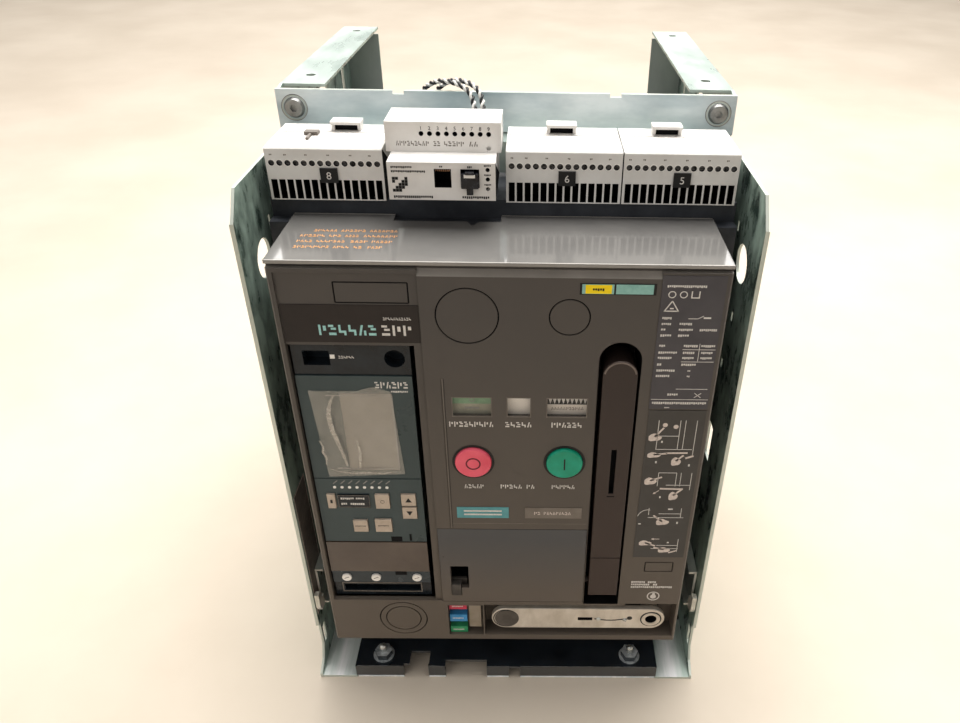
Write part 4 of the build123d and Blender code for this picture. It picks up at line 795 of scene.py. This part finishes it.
# Painted highlights along the film's folds.
fold_glints = fold_glint_strip(3.2, (-110, 300.4), (-112.4, 296), (-114.4, 290), (-115.3, 284), (-115.2, 277),
    (-114.2, 270), (-112.4, 262), (-110.6, 254), (-109, 246), (-108, 240))
fold_glints += fold_glint_strip(2.2, (-99.4, 263), (-98.4, 257), (-98, 251), (-98.6, 245), (-99.4, 238))
fold_glints += fold_glint_strip(1.4, (-124.6, 262), (-122.6, 257.4), (-123.6, 252), (-121.4, 247), (-122.4, 241))
fold_glints += fold_glint_strip(1.1, (-119.6, 236.8), (-112, 234.2), (-104, 233.2), (-95, 234), (-84, 233.4),
    (-76, 235))
prisms("display_film_creases", fold_glints, (UNIT_FACE - 3.3, UNIT_FACE - 3.2), FILM_FOLD_GLINT, slot="window")
prisms("display_border", bars((-73.6, -72.4, 234.6, 298.2), (-116, -73.6, 234.6, 235.6),
    (-116.4, -73, 297.4, 298)), (UNIT_FACE - 0.1, UNIT_FACE), GREY_PRINT)

LAMP_PITCH = 5.32
captions = []
for index in range(8):
    x = -120.6 + index * LAMP_PITCH
    captions.append(stroke((x - 0.6, 220.6), (x + 2.6, 223.6), 0.6))
    prisms(f"led_{index + 1}", [circle(x, 217.3, 1.15, 16)], (UNIT_FACE - 0.3, UNIT_FACE + 0.8),
        LAMP_WHITE, slot="window")
printed("led_captions", captions, UNIT_FACE, GREY_PRINT)
words("unit_type_marks", row(304, 5, (-83.1, -60.7)) + row(300.6, 1.4, (-73, -61.6)), UNIT_FACE)
words("plug_marks", row(206.4, 1.8, (-117.4, -107.6), (-106.4, -100))
    + row(201.2, 1.8, (-117.4, -113), (-110.8, -100.4)), UNIT_FACE - 1)
prisms("plug_frame", frame_outlines((-119.4, -96.8), (198.9, 210.3), 0.3),
    (UNIT_FACE - 1.15, UNIT_FACE - 1), TAUPE_PLATE)
# Painted shade: dark blocks stand for the trip unit's slots.
prisms("unit_slots", bars((-84.8, -76.6, 163.5, 168.4), (-71, -69.4, 164.1, 171.1),
    (-85, -76.4, 126.6, 130.6)), (UNIT_FACE - 0.04, UNIT_FACE + 0.5), PAINTED_SHADE, slot="unit_black")

KEY_SYMBOLS = {
    "key_up": lambda x, z: [[(x - 2.3, z - 1.9), (x + 2.3, z - 1.9), (x, z + 2.2)]],
    "key_down": lambda x, z: [[(x - 2.3, z + 1.9), (x, z - 2.2), (x + 2.3, z + 1.9)]],
    "key_menu": lambda x, z: bars((x - 0.8, x + 0.8, z - 1.6, z + 1.6)),
    "key_back": lambda x, z: ring_outlines(x, z, 1.6, 0.4, 16),
}
for node, symbol in KEY_SYMBOLS.items():
    x, z, front = front_centre(node)
    printed(f"{node}_symbol", symbol(x, z), front, TAUPE_PLATE if node == "key_back" else BLACK, node)
for node in ("key_store", "key_test"):
    x, z, front = front_centre(node)
    words(f"{node}_marks", row(z - 0.5, 1.1, (x - 4, x + 4)), front, TAUPE_PLATE, node)
box_piece("reset_indicator", (-109.6, -106.6), (UNIT_FACE + 0.8, UNIT_FACE + 1), (326.2, 329.2),
    LAMP_WHITE, slot="window")
words("reset_marks", row(326.3, 2, (-104.2, -94)), UNIT_FACE + 1)
for number, x in enumerate((-123, -100.3, -68.6), 1):
    prisms(f"cover_screw_{number}", [circle(x, 124, 3.6, 28)], (UNIT_FACE - 0.9, UNIT_FACE + 0.6),
        LAMP_WHITE, slot="screw")
    # Painted shade: a darker stroke stands for each screw's slot.
    prisms(f"cover_screw_slot_{number}", strokes(0.6, (x - 1.9, 123.2, x + 1.9, 124.8)),
        (UNIT_FACE - 0.95, UNIT_FACE - 0.9), TAUPE_PLATE, slot="screw")
prisms("connector_slot_rim", frame_outlines((-128.2, -65.6), (105.6, 115.9), 0.7),
    (UNIT_FACE + 1.6, UNIT_FACE + 2), TAUPE_PLATE, slot="unit_black")

# ---- position indicator
for name, look, z in (("connected", SCALE_RED, (87.4, 94.4)), ("test", SCALE_BLUE, (72.6, 80.8)),
                      ("disconnected", SCALE_GREEN, (59.4, 66))):
    box_piece(f"position_{name}", (-45.2, -31.2), (2.6, 8), z, look)
    words(f"position_{name}_marks", row((z[0] + z[1]) / 2 - 0.8, 1.3, (-43, -34)), 2.6)

# ---- crank, handle and bolts
# Painted shade: the crank's cut and slot floor are dark.
cut = [(72 + 25 * index / 12, CRANK_HEIGHT - 1.7 * sin(pi * index / 12)) for index in range(13)]
prisms("crank_cut", path(cut, 1.2) + [circle(100.6, CRANK_HEIGHT + 1, 2.2, 16)],
    (CRANK_FACE - 0.06, CRANK_FACE + 0.1), BLACK, "crank", "knob")
box_piece("crank_slot_floor", (58.7, 70.3), (5.4, 5.9), (75.7, 79.1), PAINTED_SHADE, "crank", "knob")
# The knob and hub grooves are painted shade; the hub ring is bright steel.
for name, x, radius, width, proud, look, slot in (
        ("knob_groove", 0.3, 10.4, 0.8, 0.08, BLACK, "knob"),
        ("hub_groove", CRANK_HUB_X, 8.7, 1.1, 0.08, BLACK, "knob"),
        ("hub_ring", CRANK_HUB_X, 7.6, 2.6, 0.5, CRANK_STEEL, "bright_steel")):
    ring_piece(f"crank_{name}", x, CRANK_HEIGHT, radius, width, (CRANK_FACE - proud, CRANK_FACE + 0.1),
        look, "crank", slot)

# Painted highlight: a light bead along the handle's round end; painted shadow: a dark mark under its slot.
turns = [pi * share / 20 for share in range(1, 20)]
tube_mesh("handle_rim_highlight", [at(HANDLE_X + 10.3 * cos(a), -0.35, HANDLE_ARC_Z + 10.1 * sin(a)) for a in turns],
    0.9, HANDLE_RIM_HIGHLIGHT, "charging_handle", resolution=6)
box_piece("handle_notch_shadow", (73.6, 79), (-1.05, -0.95), (213.6, 214.6), PAINTED_SHADE, "charging_handle", "handle")

bolt_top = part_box("base_bolts")[1].z / MM
for name, x in (("left", -106), ("right", 106)):
    stud = [at(x, 13, bolt_top - 2), at(x, 13, bolt_top + 4.5)]
    tube_mesh(f"bolt_stud_{name}", stud, 3, SCREW_STEEL, FRAME, resolution=6)
    ball(f"bolt_stud_end_{name}", at(x, 13, bolt_top + 4.3), 2.9, SCREW_STEEL, FRAME, "screw")
for name, x, proud, rise, radius in (("catch", 75.4, 0.6, -0.2, 2), ("end", 97, 0.4, -1, 1.9)):
    ball(f"crank_{name}_ball", at(x, CRANK_FACE + proud, CRANK_HEIGHT + rise), radius, SCREW_STEEL, "crank",
        "bright_steel")

# ---- top cover
cover_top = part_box("top_cover")[1].z / MM
note = row(42, 3.2, (-119, -104), (-102, -86), (-84, -66))
note += row(34, 3.2, (-126, -110), (-108, -100), (-98, -89), (-86.5, -65))
note += row(25.8, 3.2, (-126, -116), (-114, -96), (-93, -82), (-80, -67))
note += row(17.6, 3.2, (-126, -104), (-102, -92), (-89.5, -84), (-81, -72))
marks = generic_words("cover_note", note)
solids = standing_outlines(marks, lambda x, depth: at(x, depth, cover_top + PRINT),
    lambda x, depth: at(x, depth, cover_top))
piece("cover_note", *solids, ORANGE_PRINT, "breaker", "label")
# Painted highlight lines along the cover's front and back top edges.
EDGE_LINES = (((-138.6, 138.6), (0.1, 1)), ((-138.6, -72.4), (70.9, 71.7)), ((-1.6, 138.6), (70.9, 71.7)))
block_list("cover_edge_lines", [(x, depth, (cover_top, cover_top + 0.06)) for x, depth in EDGE_LINES],
    COVER_EDGE_HIGHLIGHT, "breaker", "cover")

# ---- terminal row
terminal_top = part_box("terminal_blocks")[1].z / MM
TERMINALS = ((-113.2, -110.9, "8"), (38.4, 40.4, "6"), (113.2, 114, "5"))
for number, (centre, tag, figure) in enumerate(TERMINALS, 1):
    box_piece(f"terminal_tag_{number}", (tag - 5.5, tag + 5.5), (TERMINAL_FACE - 1.6, TERMINAL_FACE),
        (420.5, 429.8), BLACK, FRAME, "unit_black")
    digit(f"terminal_tag_digit_{number}", figure, tag, TERMINAL_FACE - 1.65, 422.9, 4.8, WHITE_PRINT)
    rims = [outline for index in range(14)
            for outline in ring_outlines(centre + (index - 6.5) * TERMINAL_PITCH, 432.7, 2.35, 0.4, 14)]
    prisms(f"screw_hole_rims_{number}", rims, (TERMINAL_FACE - 0.25, TERMINAL_FACE), LAMP_WHITE, FRAME,
        "terminal")
    places = [centre + offset for offset in (-33, -24, -11, 3, 17, 29)]
    words(f"terminal_numbers_{number}", row(437.4, 1, *((x - 0.9, x + 0.9) for x in places)),
        TERMINAL_FACE, TAUPE_PLATE, FRAME)
    places = [centre + (index - 7) * TERMINAL_PITCH for index in range(15)]
    # The ribs are a darker grey than the blocks, as painted shade along them.
    ribs = [((x - 0.3, x + 0.3), (72, 99), (terminal_top - 0.01, terminal_top + 0.25)) for x in places]
    block_list(f"terminal_ribs_{number}", ribs, PALE_PRINT, FRAME, "terminal")
    seam = ((centre - TERMINAL_HALF, centre + TERMINAL_HALF), (99.4, 100.2),
        (terminal_top - 0.01, terminal_top + 0.05))
    block_list(f"terminal_seam_{number}", [seam], BLACK, FRAME, "terminal")

for number, x in enumerate((-105.7, 37.3, 107.8), 1):
    legs = (terminal_top, terminal_top + 4.4)
    block_list(f"terminal_clip_{number}", [
        ((x - 9.6, x - 7.6), (103, 112), legs), ((x + 7.6, x + 9.6), (103, 112), legs),
        ((x - 10, x + 10), (101, 112), (legs[1], terminal_top + 6.2))], MODULE, FRAME, "terminal")
    # Painted shade in the clips' slots.
    block_list(f"terminal_clip_slot_{number}", [((x - 7.6, x + 7.6), (105, 111), legs)], PAINTED_SHADE, FRAME,
        "terminal")
block_list("terminal_key_left", [((-131, -122), (92, 98), (terminal_top, terminal_top + 2.2)),
    ((-127.4, -125.8), (82, 92), (terminal_top, terminal_top + 1.6))], TAUPE_PLATE, FRAME, "terminal")

# ---- communication module
words("module_name_marks", row(444.6, 3, (-67, -46), (-43.6, -39), (-37, -24), (-21.4, -15.4)),
    MODULE_UPPER_FACE, TAUPE_PLATE, FRAME)
for index in range(9):
    digit(f"module_number_{index + 1}", str(index + 1), -51 + index * 5.24, MODULE_UPPER_FACE - 0.05,
        454.6, 2.3, BLACK)
marks = row(437, 1.3, (-68, -55)) + row(434.4, 1.3, (-68, -47))
marks += row(437.6, 1.2, (-38.4, -36.4), (-21.4, -18.4))
for z in (438.6, 432.8, 426.6):
    marks += row(z, 1, (-11.2, -6.8))
words("module_marks", marks, MODULE_LOWER_FACE, BLACK, FRAME)
words("module_code_strip", row(418, 1.6, (-67.5, -43), (-25, -8)), MODULE_LOWER_FACE, BLACK, FRAME)
CHECK = 1.92  # pitch of the abstract pattern
checks = bars(*((CHECK * i - 67.8, CHECK * (i + 0.94) - 67.8, 422 + CHECK * j, 422 + CHECK * (j + 0.94))
    for i in range(5) for j in range(5) if (i * 3 + j * 2) % 5 in (0, 1, 3)))
printed("module_pattern", checks, MODULE_LOWER_FACE, BLACK, FRAME)
pins = [-41.2 + 1.15 * index for index in range(8)]
block_list("jack_contacts", [((x, x + 0.5), (49.5, 58), (434.6, 435.4)) for x in pins], COPPER, FRAME,
    "copper")
box_piece("plug_latch", (-23.4, -16.6), (43.2, 44.2), (432.6, 434.4), LAMP_WHITE, FRAME, "plug")

# ---- wires
ROUTES = (
    [(-14, 98, 450), (-14, 108, 450), (-18, 128, 468), (-46, 152, 466),
     (-66, 176, 430), (-46, 312, 422), (-46, 312, 395.02)],
    [(-19.5, 98, 450), (-19.5, 108.5, 450), (-24.5, 129, 466.5), (-56, 150, 466.5),
     (-76, 172, 430), (-56, 312, 422), (-56, 312, 395.02)],
)
WIRE_RADIUS = 0.95
TWIST_LENGTH = 9
WIRE_STEP = 0.6  # spacing of the points along a wire


def smooth_route(points):
    """Points in metres along the smooth spline of a route."""
    curve, line = curve_through("route", "NURBS", [at(*point) for point in points])
    curve.resolution_u = 24
    line.order_u = 3
    line.use_endpoint_u = True
    return [vertex.co.copy() for vertex in mesh_of(curve).vertices]


def even_steps(points, step):
    """The same line with points at an even spacing."""
    found = [points[0]]
    carry = 0.0
    for a, b in zip(points, points[1:]):
        length = (b - a).length
        if length < 1e-9:
            continue
        reach = step - carry
        while reach <= length:
            found.append(a.lerp(b, reach / length))
            reach += step
        carry = length - (reach - step)
    return found


def twisted_pair(name, points):
    """Two insulated wires twisted around a route."""
    line = even_steps(smooth_route(points), WIRE_STEP * MM)
    strands = ([], [])
    side = Vector((1, 0, 0))
    for index, centre in enumerate(line):
        ahead = line[min(index + 1, len(line) - 1)] - line[max(index - 1, 0)]
        ahead.normalize()
        side = (side - ahead * side.dot(ahead)).normalized()
        across = ahead.cross(side)
        turn = tau * index * WIRE_STEP / TWIST_LENGTH
        for strand, phase in zip(strands, (0, pi)):
            out = side * cos(turn + phase) + across * sin(turn + phase)
            strand.append(centre + WIRE_RADIUS * MM * out)
    return [tube_mesh(f"{name}_{colour}", strand, WIRE_RADIUS, look, FRAME)
        for strand, colour, look in zip(strands, ("black", "white"), (BLACK_WIRE, WHITE_WIRE))]


wires = twisted_pair("wire_pair_1", ROUTES[0]) + twisted_pair("wire_pair_2", ROUTES[1])
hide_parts("wire_pairs")

# ---- closing spring
SPRING_TURNS = 9
SPRING_WIRE = 2  # room left for the wire inside the spring's box
low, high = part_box("closing_spring")
coil_radius = (high.x - low.x) / 2 - SPRING_WIRE * MM
foot = low.z + SPRING_WIRE * MM
rise = high.z - low.z - 2 * SPRING_WIRE * MM
middle = (low + high) / 2
coil = []
for share in [index / (SPRING_TURNS * 28) for index in range(SPRING_TURNS * 28 + 1)]:
    angle = tau * SPRING_TURNS * share
    coil.append((middle.x + coil_radius * cos(angle), middle.y + coil_radius * sin(angle),
        foot + share * rise))
spring = tube_mesh("closing_spring_coil", coil, 1.9, DULL_STEEL, "breaker", resolution=4)
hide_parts("closing_spring")

# ---- guide frame details
WALL_X = -158  # inner face of the left side plate
label_x = WALL_X + 0.3
ink_x = (label_x, label_x + 0.15)
block_list("wall_label", [((WALL_X, label_x), (18, 46), (61, 192))], SIDE_LABEL, FRAME, "label")
STRIPE = ((19, 0), (45, 11), (45, 13.5), (19, 2.5))
vertices = []
faces = []
for index in range(17):
    a = len(vertices)
    vertices += [at(x, depth, 63 + index * 6.8 + lift) for depth, lift in STRIPE for x in ink_x]
    faces += [[a + 1, a + 3, a + 5, a + 7], [a + 6, a + 4, a + 2, a], [a, a + 2, a + 3, a + 1],
        [a + 2, a + 4, a + 5, a + 3], [a + 4, a + 6, a + 7, a + 5], [a + 6, a, a + 1, a + 7]]
piece("wall_label_hatching", vertices, faces, TAUPE_PLATE, FRAME, "label")
block_list("wall_label_outline", [(ink_x, (18, 18.8), (61, 192)), (ink_x, (45.2, 46), (61, 192)),
    (ink_x, (18.8, 45.2), (61, 62)), (ink_x, (18.8, 45.2), (191, 192))], PALE_PRINT, FRAME, "label")
# The washers take the lighter zinc of the painted highlight.
for name, x in (("left", -148), ("right", 148)):
    ring_piece(f"crossbar_washer_{name}", x, 448, 8.4, 0.6, (136.2, 136.6), ZINC_HIGHLIGHT, FRAME, "screw")
    ring_piece(f"crossbar_recess_{name}", x, 448, 9.2, 0.6, (136.45, 136.6), DULL_STEEL, FRAME, "screw")
# Painted highlight lines along the cross member's lower lip edges; grey lines along its top edges.
for name, end, depth, z, look in (("lip", -52.4, (1.8, 2), (0.2, 1.9), LIP_EDGE_HIGHLIGHT),
                                  ("top", -52.6, (2, 2.5), (14.5, 14.56), DULL_STEEL)):
    runs = ((-127.3, -88.2), (-66.7, end), (-16.7, 1.9), (11.8, 127.8))
    block_list(f"member_{name}_edges", [(x, depth, z) for x in runs], look, FRAME, "black_steel")

# ---- stage, light and camera
bpy.ops.mesh.primitive_plane_add(size=14, location=(0, 3.5, 0))
floor = bpy.context.object
floor.name = "floor"
floor.data.materials.append(surface("pale_floor", "cabdac", "d3c7b7", (0.6, 0.75), 3, 60, 0.05))

scene = bpy.context.scene
scene.view_settings.view_transform = "Standard"
world = bpy.data.worlds.new("soft_studio")
scene.world = world
world.use_nodes = True
backdrop = world.node_tree.nodes["Background"].inputs
backdrop["Color"].default_value = (1, 0.97, 0.93, 1)
backdrop["Strength"].default_value = 0.42


def area_light(name, place, target, size, power, colour):
    light = bpy.data.lights.new(name, "AREA")
    light.shape = "RECTANGLE"
    light.size, light.size_y = size
    light.energy = power
    light.color = colour
    lamp = bpy.data.objects.new(name, light)
    scene.collection.objects.link(lamp)
    lamp.location = place
    lamp.rotation_euler = (Vector(target) - Vector(place)).to_track_quat("-Z", "Y").to_euler()


area_light("overhead", (0.1, 0.3, 2.2), (0, 0.1, 0.3), (1.8, 1.4), 78, (1, 0.985, 0.96))
area_light("front_left", (-1.3, -1.7, 1.5), (0, 0, 0.2), (1.2, 1.2), 6, (1, 0.97, 0.93))
area_light("background", (0, 3.2, 2.6), (0, 2.8, 0), (4.5, 2.6), 110, (1, 0.98, 0.95))
area_light("back_right", (1.5, 1.4, 1.6), (0, 0, 0.3), (1, 1), 8, (0.96, 0.99, 1))

CAMERA_PLACE = (0.02019, -0.63855, 0.59885)
CAMERA_PITCH, CAMERA_YAW, CAMERA_ROLL = 32.876, 0.932, 1.132
FOCAL_SHARE = 0.81048  # focal length over the picture's width
SENSOR_WIDTH = 36
pitch, yaw, roll = (radians(value) for value in (CAMERA_PITCH, CAMERA_YAW, CAMERA_ROLL))
forward = Vector((sin(yaw) * cos(pitch), cos(yaw) * cos(pitch), -sin(pitch)))
level = Vector((cos(yaw), -sin(yaw), 0))
above = level.cross(forward)
right = level * cos(roll) + above * sin(roll)
up = above * cos(roll) - level * sin(roll)
lens = bpy.data.cameras.new("camera")
lens.sensor_width = SENSOR_WIDTH
lens.lens = SENSOR_WIDTH * FOCAL_SHARE
lens.shift_x = -0.0667
lens.shift_y = -0.0043
camera = bpy.data.objects.new("camera", lens)
scene.collection.objects.link(camera)
rows = [(right[i], up[i], -forward[i], CAMERA_PLACE[i]) for i in range(3)]
camera.matrix_world = Matrix(rows + [(0, 0, 0, 1)])
scene.camera = camera
